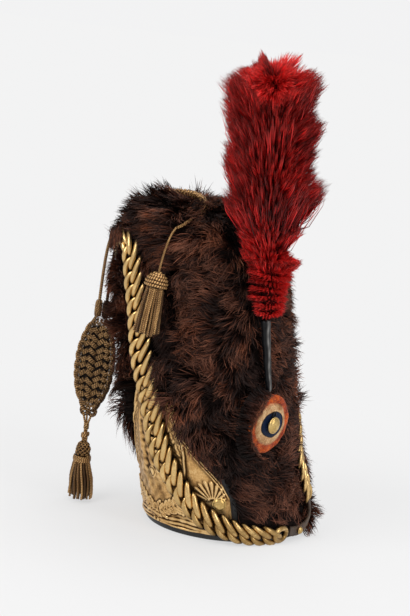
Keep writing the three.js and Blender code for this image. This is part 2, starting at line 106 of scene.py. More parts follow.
class Bag:
    """Vertices, faces and a map collected from many small shapes."""

    def __init__(self):
        self.v, self.uv, self.f, self.n, self.s = [], [], [], 0, []

    def add(self, v, faces, uv=None, tone_and_shade=0.8):
        v = np.asarray(v, float)
        self.v.append(v)
        self.s.append(np.broadcast_to(np.asarray(tone_and_shade, float), (len(v),)))
        self.uv.append(np.zeros((len(v), 2)) if uv is None else np.asarray(uv, float))
        for f in faces:
            if len(f):
                self.f.append(np.asarray(f, np.int64) + self.n)
        self.n += len(v)

    def done(self):
        return np.concatenate(self.v), self.f, np.concatenate(self.uv)

    def tone_and_shade(self):
        return {"tone_and_shade": np.concatenate(self.s)}


def ring_shade(sh, sides):
    """One shade for each ring of a cord, spread over its vertices."""
    return np.concatenate([np.repeat(sh, sides), [sh[0], sh[-1]]])


def add_mesh(name, verts, faces, material, slot, uv=None, uv_name="OFBake", soft=True, levels=None):
    fl = [np.asarray(f, np.int64) for f in (faces if isinstance(faces, list) else [faces]) if len(f)]
    loops = np.concatenate([f.ravel() for f in fl])
    counts = np.concatenate([np.full(len(f), f.shape[1]) for f in fl])
    starts = np.concatenate([[0], np.cumsum(counts)[:-1]])
    me = bpy.data.meshes.new(name)
    co = world(verts)
    me.vertices.add(len(co))
    me.vertices.foreach_set("co", co.astype(np.float32).ravel())
    me.loops.add(len(loops))
    me.loops.foreach_set("vertex_index", loops.astype(np.int32))
    me.polygons.add(len(counts))
    me.polygons.foreach_set("loop_start", starts.astype(np.int32))
    me.update(calc_edges=True)
    me.polygons.foreach_set("use_smooth", np.full(len(counts), bool(soft)))
    if uv is not None:
        layer = me.uv_layers.new(name=uv_name)
        layer.data.foreach_set("uv", np.asarray(uv, np.float32)[loops].ravel())
    if levels is None and uv_name == "twist":
        levels = {"tone_and_shade": np.full(len(co), 0.8)}
    if levels is not None:
        for key, values in levels.items():
            at = me.attributes.new(key, "FLOAT", "POINT")
            at.data.foreach_set("value", np.asarray(values, np.float32))
    me.materials.append(material)
    me.update()
    ob = bpy.data.objects.new(name, me)
    bpy.context.scene.collection.objects.link(ob)
    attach(ob, "root")
    return ob


def arc_of(path, closed=False):
    d = np.linalg.norm(np.diff(path, axis=0), axis=1)
    return np.concatenate([[0], np.cumsum(d)])


def frames_of(path, closed=False, hint=None):
    """Directions along a path, and two across it that turn as little as they can."""
    if closed:
        t = unit(np.roll(path, -1, 0) - np.roll(path, 1, 0))
    else:
        t = unit(np.gradient(path, axis=0))
    n = np.zeros_like(path)
    h = np.array([0.0, 0, 1]) if hint is None else np.asarray(hint, float)
    a = h - t[0] * (h @ t[0])
    if np.linalg.norm(a) < 0.05:
        a = np.array([1.0, 0, 0]) - t[0] * t[0][0]
    n[0] = a / np.linalg.norm(a)
    for i in range(1, len(path)):
        a = n[i - 1] - t[i] * (n[i - 1] @ t[i])
        n[i] = a / np.linalg.norm(a)
    if closed:
        a = n[-1] - t[0] * (n[-1] @ t[0])
        a /= np.linalg.norm(a)
        b = np.cross(t[0], n[0])
        ang = math.atan2(a @ b, a @ n[0])
        w = -ang * np.arange(len(path)) / len(path)
        m = np.cross(t, n)
        n = n * np.cos(w)[:, None] + m * np.sin(w)[:, None]
    return t, n, np.cross(t, n)


def tube(path, radius, sides=8, closed=False, lobes=0, depth=0.0, turn=0.0, flat=1.0, hint=None, uv_scale=1.0, cross=None):
    """A round or lobed cord along a path. turn is how many times its lobes go round in each mm."""
    path = np.asarray(path, float)
    n = len(path)
    r = np.broadcast_to(np.asarray(radius, float), (n,))
    _, a, b = frames_of(path, closed, hint) if cross is None else (None, cross[0], cross[1])
    s = arc_of(np.vstack([path, path[:1]]) if closed else path)[:n]
    phi = np.arange(sides) / sides * TAU
    rr = r[:, None] * (1 + (depth * np.cos(lobes * (phi[None] + TAU * turn * s[:, None])) if lobes else 0))
    ring = path[:, None] + (a[:, None] * np.cos(phi)[None, :, None] * flat + b[:, None] * np.sin(phi)[None, :, None]) * rr[..., None]
    v = ring.reshape(-1, 3)
    i = np.arange(n if closed else n - 1)[:, None]
    j = np.arange(sides)[None]
    i2, j2 = (i + 1) % n, (j + 1) % sides
    q = np.stack([i * sides + j, i * sides + j2, i2 * sides + j2, i2 * sides + j], -1).reshape(-1, 4)
    uv = np.stack([np.broadcast_to(phi / TAU, (n, sides)), np.broadcast_to((s * uv_scale)[:, None], (n, sides))], -1).reshape(-1, 2)
    faces = [q]
    if not closed:
        c0, c1 = len(v), len(v) + 1
        v = np.vstack([v, path[0] - (path[1] - path[0]) * 0.0, path[-1]])
        uv = np.vstack([uv, uv[0], uv[-1]])
        j = np.arange(sides)
        faces.append(np.concatenate([
            np.stack([np.full(sides, c0), (j + 1) % sides, j], 1),
            np.stack([np.full(sides, c1), (n - 1) * sides + j, (n - 1) * sides + (j + 1) % sides], 1)]))
    return v, faces, uv


def curve(points, count, closed=False, dense=40):
    """Centripetal Catmull-Rom through points, at count places equally far apart. A closed one doesn't repeat its first."""
    p = np.asarray(points, float)
    n = len(p)
    out = []
    segs = n if closed else n - 1
    for i in range(segs):
        p1, p2 = p[i], p[(i + 1) % n]
        p0 = p[i - 1] if closed or i > 0 else 2 * p[0] - p[1]
        p3 = p[(i + 2) % n] if closed or i + 2 < n else 2 * p[-1] - p[-2]
        d0, d1, d2 = [max(np.linalg.norm(u[:3] - w[:3]) ** 0.5, 1e-4) for u, w in ((p0, p1), (p1, p2), (p2, p3))]
        t1 = ((p1 - p0) / d0 - (p2 - p0) / (d0 + d1) + (p2 - p1) / d1) * d1
        t2 = ((p2 - p1) / d1 - (p3 - p1) / (d1 + d2) + (p3 - p2) / d2) * d1
        t = (np.arange(dense) / dense)[:, None]
        out.append(p1 + t1 * t + (-3 * p1 + 3 * p2 - 2 * t1 - t2) * t ** 2 + (2 * p1 - 2 * p2 + t1 + t2) * t ** 3)
    out.append(p[:1] if closed else p[-1:])
    q = np.concatenate(out)
    s = arc_of(q[:, :3])
    at = np.linspace(0, s[-1], count + 1)[:-1] if closed else np.linspace(0, s[-1], count)
    return np.stack([np.interp(at, s, q[:, k]) for k in range(q.shape[1])], 1)


def lathe(profile, sides, name_uv=True):
    """Turns (r, h) rows round the Z axis. The first and last r are 0."""
    p = np.asarray(profile, float)
    m = len(p) - 2
    phi = np.arange(sides) / sides * TAU
    inner = p[1:-1]
    v = np.stack([inner[:, None, 0] * np.cos(phi), inner[:, None, 0] * np.sin(phi), np.broadcast_to(inner[:, None, 1], (m, sides))], -1).reshape(-1, 3)
    v = np.vstack([v, [0, 0, p[0, 1]], [0, 0, p[-1, 1]]])
    i, j = np.arange(m - 1)[:, None], np.arange(sides)[None]
    j2 = (j + 1) % sides
    q = np.stack([i * sides + j, i * sides + j2, (i + 1) * sides + j2, (i + 1) * sides + j], -1).reshape(-1, 4)
    j, j2 = j.ravel(), j2.ravel()
    t = np.concatenate([np.stack([np.full(sides, m * sides), j2, j], 1),
                        np.stack([np.full(sides, m * sides + 1), (m - 1) * sides + j, (m - 1) * sides + j2], 1)])
    return v, [q, t]


def frame_at(point, out, upward=(0, 0, 1)):
    """A placing matrix: z along out."""
    z = np.asarray(out, float) / np.linalg.norm(out)
    x = np.cross(upward, z); x /= np.linalg.norm(x)
    y = np.cross(z, x)
    return np.stack([x, y, z], 1), np.asarray(point, float)


def placed(v, fr):
    return v @ fr[0].T + fr[1]


# ---------------------------------------------------------------- tables of the cap
BODY = np.array([
    (0, -2, 82, 98), (8, -4.1, 82, 98), (30, -10, 82, 98), (60, -21, 82, 96), (90, -33, 82, 93), (120, -43, 82, 90),
    (150, -50, 81.5, 87), (200, -60, 80, 83), (250, -71, 79, 79), (300, -84, 77, 75), (330, -90, 73, 70),
    (350, -94, 64, 61), (358, -95, 50, 47), (361, -95, 0.5, 0.5)], float)
# The fur's outer form, row for row with the body's rows from 8 mm up.
OUTLINE = np.array([
    (6, 3, 92, 107), (30, -5, 95, 107), (60, -16, 96.5, 106), (90, -33, 98, 107), (120, -50, 101.5, 109.5),
    (150, -60, 103, 110), (205, -73, 101, 107), (258, -84, 98, 103), (312, -98.5, 96, 100), (343, -104.5, 90, 93.5),
    (366, -107.5, 75, 78), (377, -108, 54, 56), (382, -108, 0.5, 0.5)], float)
PLATE = np.array([
    (7, 91), (22, 92), (40, 92.5), (54, 92), (68, 86), (80, 77), (96, 63), (106, 54), (115, 46.5),
    (125, 44), (137, 40), (149, 35.5), (160, 29), (168, 21), (174, 10)], float)
CHAIN = np.array([
    (9, 12.4, 8.4, 8.2), (-2, 12.6, 8.4, 10.8), (-13, 12.8, 8.6, 11.8), (-28.2, 17.5, 10.2, 12), (-43.8, 32.5, 10.8, 12),
    (-55.9, 52.6, 9, 11.8), (-64.9, 79, 8.8, 11.4), (-73.7, 110.5, 8.8, 10.8), (-80.4, 141.6, 10, 10.3), (-80.6, 163, 17.5, 10),
    (-80.8, 184, 24.8, 9.7), (-82, 206, 29.2, 9.5), (-82.6, 227.3, 31.6, 9.2), (-84.4, 264, 33.2, 8.8), (-86.4, 300, 35.2, 8.4),
    (-89.6, 320, 35.4, 8.1), (-98, 329, 33.2, 8), (-109, 325, 29, 8), (-121, 313, 25.6, 8), (-135, 300, 22, 8), (-152, 286, 18.4, 8),
    (-173.5, 266, 15.4, 8), (-205.5, 238, 13.4, 8), (-237, 209, 12.4, 8), (-270, 177, 11.8, 8), (-297, 147, 12, 8),
    (-314, 121, 12.6, 8), (-324.5, 97, 13.6, 8), (-327, 74, 16, 8), (-326.4, 52, 17, 8)], float)
CHAIN_PITCH = 14.9
STRAP = np.array([(13.2, 11.6, 8.2), (20, 10.4, 8), (26, 10.6, 8.6), (31, 15, 11), (33.4, 24, 14.4), (33.8, 34, 16.4), (33.6, 46.5, 17)], float)
STUD_AT = (23.5, 10.4, 10.85)
BOSS_AT = (-37, 45.5, 3.75)
COCKADE_AT = np.array([101.4, -54.6, 147.8]); COCKADE_TURN = 9
STEM = np.array([(103, -60.6, 185, 3.2), (103.1, -66, 204, 3.7), (103.3, -74, 234, 4.6), (103.5, -81.8, 264.4, 5.3)], float)
PLUME = np.array([
    (103.6, -78.5, 266.5, 7), (104, -78.5, 274, 15), (105, -81.5, 290, 20.5), (106, -86, 310, 25), (107, -91, 331, 28.5),
    (107.6, -98, 350, 29.5), (108, -101, 364, 33), (108.6, -106, 384, 39), (109, -106.5, 400, 44.5), (109, -107.5, 417, 47),
    (109, -113, 438, 47), (109, -117.5, 462, 46.5), (109, -121.5, 485, 46.5), (109, -124, 507, 48), (109, -126, 524, 46),
    (109, -128.5, 537, 37), (109, -130, 544, 24)], float)
BRAID = np.array([
    (-86, -139.5, 328), (-80, -133, 346.5), (-68, -122, 364.5), (-52, -111, 374.5), (-32, -106, 379), (-8, -108, 380.5),
    (14, -115, 379.5), (32, -126, 376), (42, -141, 371), (48, -158, 365.6), (51.5, -172.5, 359)], float)
SUNK_BRAID = np.vstack([BRAID, (52.5, -178.7, 357.2)])
SUNK_BRAID = SUNK_BRAID - np.array([0, 0, 1.0]) * (2.0 + 2.5 * np.clip((SUNK_BRAID[:, :1] + 20) / 60, 0, 1))
FRONT_CORD = np.array([
    (52.6, -180.4, 352.6), (53.6, -186, 346), (54, -189.6, 338), (53.2, -192.2, 326), (52, -193.6, 313), (51.2, -194.2, 303.4)], float)
FRONT_HANG = np.array([51, -194.4, 303.0]); FRONT_LEAN = 4
HANG = np.array([-106.7, -139.4, 0.0]); HANG_TURN = 40; NECK_APART = 4.4
FLOUNDER_CORD = np.array([
    (-14.4, -2.4, 324.6), (-10.6, -1.8, 321.6), (-6.8, -1, 315.6), (-3.6, -0.4, 306.5), (-1.6, 0, 294), (-0.4, 0, 278), (0, 0, 260), (0, 0, 238.4)], float)
FLOUNDER = np.array([(217, 6), (213, 10.5), (207, 14.5), (198, 18.4), (186, 21.8), (172, 23.7), (158, 24), (144, 22.8), (131, 20), (121, 15.8), (113, 11.4), (107, 7.6)], float)


def table(T, z):
    z = np.asarray(z, float)
    return [np.interp(z, T[:, 0], T[:, k]) for k in range(1, T.shape[1])]


def on_body(theta, z, off):
    y, a, b = table(BODY, z)
    return np.stack([(a + off) * np.cos(theta), y + (b + off) * np.sin(theta), np.broadcast_to(z, np.shape(theta)).astype(float)], -1)


def body_out(theta, z):
    y, a, b = table(BODY, z)
    return unit(np.stack([np.cos(theta) / a, np.sin(theta) / b, np.zeros_like(np.asarray(theta, float))], -1))

# ---------------------------------------------------------------- materials


class Mat:
    def __init__(self, name, **inputs):
        self.m = bpy.data.materials.new(name)
        self.m.use_nodes = True
        self.t = self.m.node_tree
        self.t.nodes.clear()
        out = self.t.nodes.new("ShaderNodeOutputMaterial")
        self.b = self.t.nodes.new("ShaderNodeBsdfPrincipled")
        self.t.links.new(self.b.outputs[0], out.inputs[0])
        self.set(**inputs)

    def put(self, socket, v):
        if isinstance(v, bpy.types.NodeSocket):
            self.t.links.new(v, socket)
        elif isinstance(v, (tuple, list)) and len(v) == 3 and socket.type == "RGBA":
            socket.default_value = (*v, 1)
        else:
            socket.default_value = v

    def set(self, **inputs):
        for k, v in inputs.items():
            self.put(self.b.inputs[k.replace("_", " ")], v)
        return self

    def n(self, kind, ins=None, out=0, **props):
        nd = self.t.nodes.new("ShaderNode" + kind)
        for k, v in props.items():
            setattr(nd, k, v)
        for k, v in (ins or {}).items():
            self.put(nd.inputs[k], v)
        return nd.outputs[out]

    def mix(self, fac, a, b, how="MIX"):
        nd = self.t.nodes.new("ShaderNodeMix")
        nd.data_type, nd.blend_type, nd.clamp_factor = "RGBA", how, True
        self.put(nd.inputs[0], fac), self.put(nd.inputs[6], a), self.put(nd.inputs[7], b)
        return nd.outputs[2]

    def math(self, op, a, b=0.0, c=None):
        nd = self.t.nodes.new("ShaderNodeMath")
        nd.operation = op
        self.put(nd.inputs[0], a), self.put(nd.inputs[1], b)
        if c is not None:
            self.put(nd.inputs[2], c)
        return nd.outputs[0]

    def ramp(self, fac, stops, mode="LINEAR"):
        nd = self.t.nodes.new("ShaderNodeValToRGB")
        e = nd.color_ramp.elements
        nd.color_ramp.interpolation = mode
        while len(e) > 1:
            e.remove(e[-1])
        e[0].position = stops[0][0]
        for p, _ in stops[1:]:
            e.new(p)
        for el, (p, c) in zip(e, stops):
            c = (c, c, c) if isinstance(c, (int, float)) else c
            el.position, el.color = p, (*c, 1)
        self.put(nd.inputs[0], fac)
        return nd.outputs[0]

    def coords(self, which="Object"):
        return self.n("TexCoord", out={"Generated": 0, "Normal": 1, "UV": 2, "Object": 3}[which])

    def noise(self, vec, scale, detail=3.0, rough=0.5, out=0, **more):
        return self.n("TexNoise", {"Vector": vec, "Scale": scale, "Detail": detail, "Roughness": rough, **more}, out=out)

    def bump(self, height, strength=0.3, distance=0.0005, normal=None):
        ins = {"Height": height, "Strength": strength, "Distance": distance}
        if normal is not None:
            ins["Normal"] = normal
        return self.n("Bump", ins)

    def level(self, name):
        return self.n("Attribute", attribute_name=name, out=2)

    def uvmap(self, name):
        return self.n("UVMap", uv_map=name)

    def parts(self, vec):
        nd = self.t.nodes.new("ShaderNodeSeparateXYZ")
        self.put(nd.inputs[0], vec)
        return nd.outputs


def hair_material(name, dark, bright, rough, spec, russet=None):
    """Strands: the map's first number is a strand's tone, and its second the place along it."""
    m = Mat(name, Roughness=rough)
    m.b.inputs["Specular IOR Level"].default_value = spec
    u, v, _ = m.parts(m.uvmap("OFBake"))
    colour = m.mix(u, m.ramp(v, dark), m.ramp(v, bright))
    if russet is not None:
        patch = m.ramp(m.noise(m.coords(), 26, 3, 0.6), [(0.50, 0.0), (0.66, 0.8)])
        colour = m.mix(m.math("MULTIPLY", patch, u), colour, m.ramp(v, russet))
    m.set(Base_Color=colour)
    return m.m


FUR_MAT = hair_material(
    "fur", [(0, (0.0016, 0.0009, 0.0008)), (0.35, (0.0040, 0.0021, 0.0018)), (0.7, (0.0095, 0.0050, 0.0044)), (1, (0.021, 0.0115, 0.0095))],
    [(0, (0.006, 0.0024, 0.0016)), (0.3, (0.042, 0.0132, 0.0078)), (0.65, (0.185, 0.062, 0.034)), (1, (0.37, 0.150, 0.088))], 0.55, 0.13,
    [(0, (0.010, 0.0024, 0.0012)), (0.4, (0.10, 0.022, 0.008)), (1, (0.46, 0.125, 0.045))])
PLUME_MAT = hair_material(
    "plume", [(0, (0.0025, 0.0005, 0.0004)), (0.4, (0.014, 0.0015, 0.0013)), (0.75, (0.044, 0.0042, 0.0036)), (1, (0.040, 0.007, 0.006))],
    [(0, (0.020, 0.0008, 0.0007)), (0.3, (0.22, 0.0030, 0.0030)), (0.60, (0.82, 0.014, 0.013)), (0.76, (0.80, 0.044, 0.036)), (0.92, (0.30, 0.018, 0.015)), (1, (0.13, 0.010, 0.008))], 0.5, 0.26)


def skin_material():
    m = Mat("under_fur", Roughness=0.9)
    m.b.inputs["Specular IOR Level"].default_value = 0.1
    p = m.coords()
    m.set(Base_Color=m.ramp(m.noise(p, 160, 4), [(0.3, (0.003, 0.0018, 0.0015)), (0.7, (0.012, 0.0062, 0.005))]),
          Normal=m.bump(m.noise(p, 420, 5), 0.9, 0.002))
    return m.m


def leather_material(name, dark, worn, rough=0.45):
    m = Mat(name)
    p = m.coords()
    cells = m.n("TexVoronoi", {"Vector": p, "Scale": 900.0})
    broad = m.noise(p, 22, 4)
    fine = m.noise(p, 260, 3)
    m.set(Base_Color=m.mix(m.ramp(m.math("ADD", m.math("MULTIPLY", broad, 0.7), m.math("MULTIPLY", fine, 0.3)), [(0.42, 0.0), (0.68, 1.0)]), dark, worn),
          Roughness=m.math("ADD", rough - 0.1, m.math("MULTIPLY", fine, 0.25)),
          Normal=m.bump(cells, 0.25, 0.00035, m.bump(broad, 0.3, 0.001)))
    m.b.inputs["Specular IOR Level"].default_value = 0.45
    return m.m


BODY_LEATHER = leather_material("body_leather", (0.006, 0.0055, 0.0055), (0.024, 0.021, 0.019), 0.42)
LINING = leather_material("sweatband_leather", (0.09, 0.052, 0.028), (0.19, 0.12, 0.07), 0.6)
STRAP_LEATHER = leather_material("strap_leather", (0.028, 0.015, 0.009), (0.13, 0.078, 0.045), 0.5)


def brass_material(name, low, mid, high, rough, hollow_and_light=None, scale=1.0, grain=0.12, patina_and_shade=(0.02, 0.012, 0.005)):
    m = Mat(name, Metallic=1.0)
    p = m.coords()
    stain = m.noise(p, 48 * scale, 5, 0.6)
    speck = m.noise(p, 420 * scale, 4, 0.65)
    f = m.math("ADD", m.math("MULTIPLY", stain, 0.55), m.math("MULTIPLY", speck, 0.45))
    colour = m.ramp(f, [(0.30, low), (0.5, mid), (0.68, high)])
    roughness = m.ramp(f, [(0.3, min(1, rough + 0.22)), (0.7, rough)])
    # Where a level is given, its low places take the dark colour (patina in the plate's hollows, and painted shade
    # between the chain's links and on the plate under the chain). Its high places, with the chain's upper run, take the
    # bright colour as a painted highlight.
    if hollow_and_light:
        deep = m.level(hollow_and_light)
        colour = m.mix(m.ramp(deep, [(cavity_low[hollow_and_light], 1.0), (cavity_high[hollow_and_light], 0.0)]), colour, patina_and_shade)
        colour = m.mix(m.ramp(deep, [(0.60, 0.0), (0.95, 0.55)]), colour, high)
        roughness = m.math("ADD", roughness, m.ramp(deep, [(0.1, 0.3), (0.5, 0.0)]))
    m.set(Base_Color=colour, Roughness=roughness,
          Normal=m.bump(m.math("ADD", speck, m.math("MULTIPLY", stain, 0.6)), grain, 0.0004))
    return m.m


cavity_low, cavity_high = {"hollow_and_light": 0.10, "relief_and_light": 0.14}, {"hollow_and_light": 0.60, "relief_and_light": 0.55}
PLATE_BRASS = brass_material("embossed_brass", (0.23, 0.108, 0.034), (0.68, 0.40, 0.150), (0.95, 0.69, 0.345), 0.27, "relief_and_light", 1.0, 0.2, (0.060, 0.028, 0.009))
CHAIN_BRASS = brass_material("chain_brass", (0.14, 0.076, 0.024), (0.325, 0.192, 0.064), (0.94, 0.65, 0.285), 0.24, "hollow_and_light", 1.6, 0.10, (0.010, 0.005, 0.0015))
GILT = brass_material("gilt_button", (0.26, 0.15, 0.045), (0.58, 0.39, 0.14), (0.92, 0.70, 0.32), 0.22, None, 2.0, 0.06)


def thread_material(name, dark, mid, light, metal, rough, stripes=1.0, bumpy=0.5):
    """Twisted thread: the map's second number runs along it, one turn of the twist to each unit."""
    m = Mat(name, Metallic=metal)
    u, v, _ = m.parts(m.uvmap("twist"))
    p = m.coords()
    wave = m.math("SINE", m.math("MULTIPLY", m.math("ADD", m.math("MULTIPLY", v, stripes), u), TAU))
    wave = m.math("ADD", m.math("MULTIPLY", wave, 0.5), 0.5)
    fleck = m.noise(p, 900, 3, 0.6)
    broad = m.noise(p, 70, 3)
    f = m.math("ADD", m.math("MULTIPLY", wave, 0.42), m.math("ADD", m.math("MULTIPLY", fleck, 0.33), m.math("MULTIPLY", broad, 0.25)))
    # The level holds each cord's random tone together with painted shade; where it is low the colour goes to a
    # near-black copy of the dark colour.
    tone_and_shade = m.level("tone_and_shade")
    colour = m.ramp(m.math("MULTIPLY", f, m.math("ADD", 0.55, m.math("MULTIPLY", tone_and_shade, 0.55))), [(0.20, dark), (0.50, mid), (0.76, light)])
    deep = tuple(c * 0.35 for c in dark)
    m.set(Base_Color=m.mix(m.ramp(tone_and_shade, [(0.05, 1.0), (0.62, 0.0)]), colour, deep), Roughness=rough,
          Normal=m.bump(m.math("ADD", wave, m.math("MULTIPLY", fleck, 0.5)), bumpy, 0.0004))
    m.b.inputs["Specular IOR Level"].default_value = 0.3
    return m.m


BULLION = thread_material("gold_bullion", (0.030, 0.011, 0.003), (0.235, 0.112, 0.034), (0.74, 0.45, 0.185), 0.42, 0.38, 1.0, 0.9)
OLIVE = thread_material("olive_cord", (0.009, 0.0034, 0.001), (0.145, 0.068, 0.021), (0.60, 0.36, 0.150), 0.30, 0.40, 1.0, 0.8)
# A darker copy of the cord's colour for the second hanging cord, its neck and the sheet inside the flounder: painted
# shade.
SHADED_CORD = thread_material("shaded_cord", (0.009, 0.0036, 0.001), (0.032, 0.014, 0.005), (0.090, 0.048, 0.018), 0.05, 0.6)
for nd in SHADED_CORD.node_tree.nodes:
    if nd.type == "BSDF_PRINCIPLED":
        nd.inputs["Specular IOR Level"].default_value = 0.10

# ---------------------------------------------------------------- free cords, first
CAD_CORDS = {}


def twisted(path, r, lobes=2, turn=0.12, sides=8, depth=0.14, uv=0.35):
    return tube(path, r, sides, lobes=lobes, depth=depth, turn=turn, uv_scale=uv)


# The front cord's route, and its end inside the tassel's wound head.
FRONT_END = np.array([(50.6, -194.8, 297.0), (50.3, -195.1, 291.0)], float)
front_line = curve(np.vstack([FRONT_CORD, FRONT_END]), 58)
v, f, uv = twisted(front_line, 1.05, 2, 0.28, 8, 0.12, 0.6)
front_cord = add_mesh("front_cord_line", v, f, BULLION, "gold_bullion", uv, "twist")
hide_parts("front_cord")

across = np.array([math.cos(math.radians(HANG_TURN)), math.sin(math.radians(HANG_TURN)), 0])
facing = np.array([math.sin(math.radians(HANG_TURN)), -math.cos(math.radians(HANG_TURN)), 0])
neck_at = {t: HANG + across * s * NECK_APART for t, s in (("a", -1), ("b", 1))}
flounder_lines, flounder_cords = {}, {}


def at_hang(q, out, z):
    """A point on the flounder: q across it and out of its face."""
    q, out, z = np.broadcast_arrays(np.asarray(q, float), np.asarray(out, float), np.asarray(z, float))
    return HANG + across * q[..., None] + facing * out[..., None] + np.array([0, 0, 1.0]) * z[..., None]


def oval_half(z):
    return np.interp(z, FLOUNDER[::-1, 0], FLOUNDER[::-1, 1])


def edge_line(s_, zz, inset, lift, give=1.0):
    """A cord along one side of the oval, swelling out in scallops."""
    scallop = np.abs(np.sin((zz - 107) / 11.5 * math.pi)) ** 0.6
    q = s_ * (oval_half(np.clip(zz, 107, 217)) - inset - (1.5 - 1.5 * scallop) * give)
    return at_hang(q, lift * np.cos((zz - 107) / 11.5 * math.pi), zz)


# Each hanging cord follows its route to its wound neck, runs through it and makes one side of the flounder's edge.
for t, s_ in (("a", -1), ("b", 1)):
    pts = np.stack([neck_at[t][0] - FLOUNDER_CORD[:, 0], neck_at[t][1] - FLOUNDER_CORD[:, 1], FLOUNDER_CORD[:, 2]], 1)
    edge = edge_line(s_, np.linspace(213, 106.5, 130), 1.5, 0.7)
    line = np.vstack([curve(pts, 60), neck_at[t] + np.array([0, 0, 1.0]) * np.linspace(235, 219, 8)[:, None], edge])
    line[66:72] = (line[65:71] + line[66:72] * 2 + line[67:73]) / 4
    flounder_lines[t] = line
    v, f, uv = twisted(line, np.interp(np.arange(len(line)), [0, 62, 70], [1.8, 1.8, 1.55]), 2, 0.16, 10, 0.11, 0.4)
    # The second cord is given the darker copy of the cord's colour: painted shade.
    ob = add_mesh("flounder_cord_" + t + "_line", v, f, OLIVE if t == "a" else SHADED_CORD, "olive_cord", uv, "twist")
    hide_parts("flounder_cord_" + t)
    flounder_cords[t] = ob

# ---------------------------------------------------------------- leather body
BODY_SIDES = 120


def body_shell():
    rows = [(0.9, 0.0), (0.25, -0.5), (0.0, -1.25), (0.25, -2.0), (0.9, -2.5)]  # height, offset round the lower edge
    zs = np.concatenate([np.linspace(3, 8, 2), np.linspace(14, 330, 26), np.linspace(336, 350, 3), [354, 358]])
    th = np.arange(BODY_SIDES) / BODY_SIDES * TAU
    rings = []
    for z in zs[::-1]:
        crown = float(np.interp(z, [300, 330, 350, 358], [0, .3, .8, 1]))
        rings.append(on_body(th, np.full_like(th, z), 0))
    for z, off in rows:
        rings.append(on_body(th, np.full_like(th, z), off))
    for z in zs:
        crown = float(np.interp(z, [300, 330, 350, 358], [0, .3, .8, 1]))
        r = on_body(th, np.full_like(th, z), -2.5)
        r[:, 2] -= 2.5 * crown
        rings.append(r)
    n = BODY_SIDES
    v = np.vstack(rings + [np.array([[0, -95, 361.0], [0, -95, 358.5]])])
    m = len(rings)
    i, j = np.arange(m - 1)[:, None], np.arange(n)[None]
    j2 = (j + 1) % n
    q = np.stack([i * n + j, (i + 1) * n + j, (i + 1) * n + j2, i * n + j2], -1).reshape(-1, 4)
    j, j2 = j.ravel(), j2.ravel()
    t = np.concatenate([np.stack([np.full(n, m * n), j, j2], 1), np.stack([np.full(n, m * n + 1), (m - 1) * n + j2, (m - 1) * n + j], 1)])
    ob = add_mesh("leather_body", v, [q, t], BODY_LEATHER, "body_leather")
    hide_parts("shell")
    # A sweatband inside the rim, with its stitches.
    band = []
    for z, off in [(4.0, -2.9), (3.4, -3.6), (4.2, -4.3), (20, -4.5), (34, -4.1), (36, -3.5), (35.4, -2.9), (20, -2.85)]:
        band.append(on_body(th, np.full_like(th, z), off))
    v = np.vstack(band)
    m = len(band)
    i, j = np.arange(m)[:, None], np.arange(n)[None]
    q = np.stack([i * n + j, i * n + (j + 1) % n, ((i + 1) % m) * n + (j + 1) % n, ((i + 1) % m) * n + j], -1).reshape(-1, 4)
    add_mesh("sweatband", v, q, LINING, "body_leather")
    bag = Bag()
    for k in range(96):
        a = k / 96 * TAU
        seg = np.array([on_body(a + d, 31.0 + 0.0 * d, -4.25 - 0.35 * math.cos(d / 0.022 * math.pi / 2)) for d in np.linspace(-0.02, 0.02, 5)])
        v, f, uv = tube(seg, 0.45, 5)
        bag.add(v, f, uv)
    add_mesh("sweatband_stitches", *bag.done()[:2], LINING, "body_leather")


body_shell()

# ---------------------------------------------------------------- chain's path


def chain_path(rows):
    pts, outs = [], []
    for r in rows:
        t = math.radians(r[0])
        pts.append(on_body(np.array(t), np.array(r[1]), r[2]))
        outs.append(body_out(np.array(t), np.array(r[1])))
    pts, outs = np.array(pts), np.array(outs)
    n = len(rows)
    dense = curve(pts, 1601)
    # Where each row lies on the dense line, to read its width and its way out between rows.
    s = arc_of(dense)
    share = [s[np.argmin(np.linalg.norm(dense - p, axis=1))] for p in pts]
    half = np.interp(s, share, rows[:, 3]) if rows.shape[1] > 3 else np.zeros(len(s))
    out = np.stack([np.interp(s, share, outs[:, k]) for k in range(3)], 1)
    along = unit(np.gradient(dense, axis=0))
    out = unit(out - along * (out * along).sum(1, keepdims=True))
    return dict(s=s, p=dense, along=along, out=out, side=np.cross(along, out), half=half, total=s[-1])


CH = chain_path(CHAIN)


def on_path(C, s, p, q):
    """Points at place s along a path, p to its side and q out of it."""
    s = np.asarray(s, float)
    g = lambda a: np.stack([np.interp(s, C["s"], a[:, k]) for k in range(3)], -1)
    beyond = np.where(s < 0, s, np.where(s > C["total"], s - C["total"], 0))
    return g(C["p"]) + g(C["side"]) * np.asarray(p)[..., None] + g(C["out"]) * np.asarray(q)[..., None] + g(C["along"]) * beyond[..., None]


# One link of the curb: across as a share of the half width, out, along, and thickness. A slanting ring whose
# right-hand limb is a long spindle that lies uppermost, with the arched limb beside it. The next link's
# spindle end goes down through it.
LINK = np.array([
    (1.20, -1.0, 13.0, 0.70), (1.03, 0.9, 9.8, 0.94), (0.66, 2.5, 3.5, 1.08), (0.28, 3.1, -2.6, 1.12), (-0.03, 2.7, -7.8, 1.09),
    (-0.25, 1.4, -11.6, 1.0), (-0.38, -1.0, -14.2, 0.80), (-0.62, -3.4, -15.2, 0.56), (-0.95, -3.8, -13.4, 0.56), (-1.15, -2.8, -9.5, 0.74),
    (-1.18, -0.9, -5.2, 0.92), (-1.11, 0.9, -0.6, 1.02), (-0.97, 1.7, 3.9, 1.04), (-0.72, 1.6, 8.2, 1.0), (-0.34, 0.7, 11.7, 0.88),
    (0.12, -0.9, 13.6, 0.66), (0.62, -2.9, 14.6, 0.48), (1.02, -2.9, 15.0, 0.42)], float)


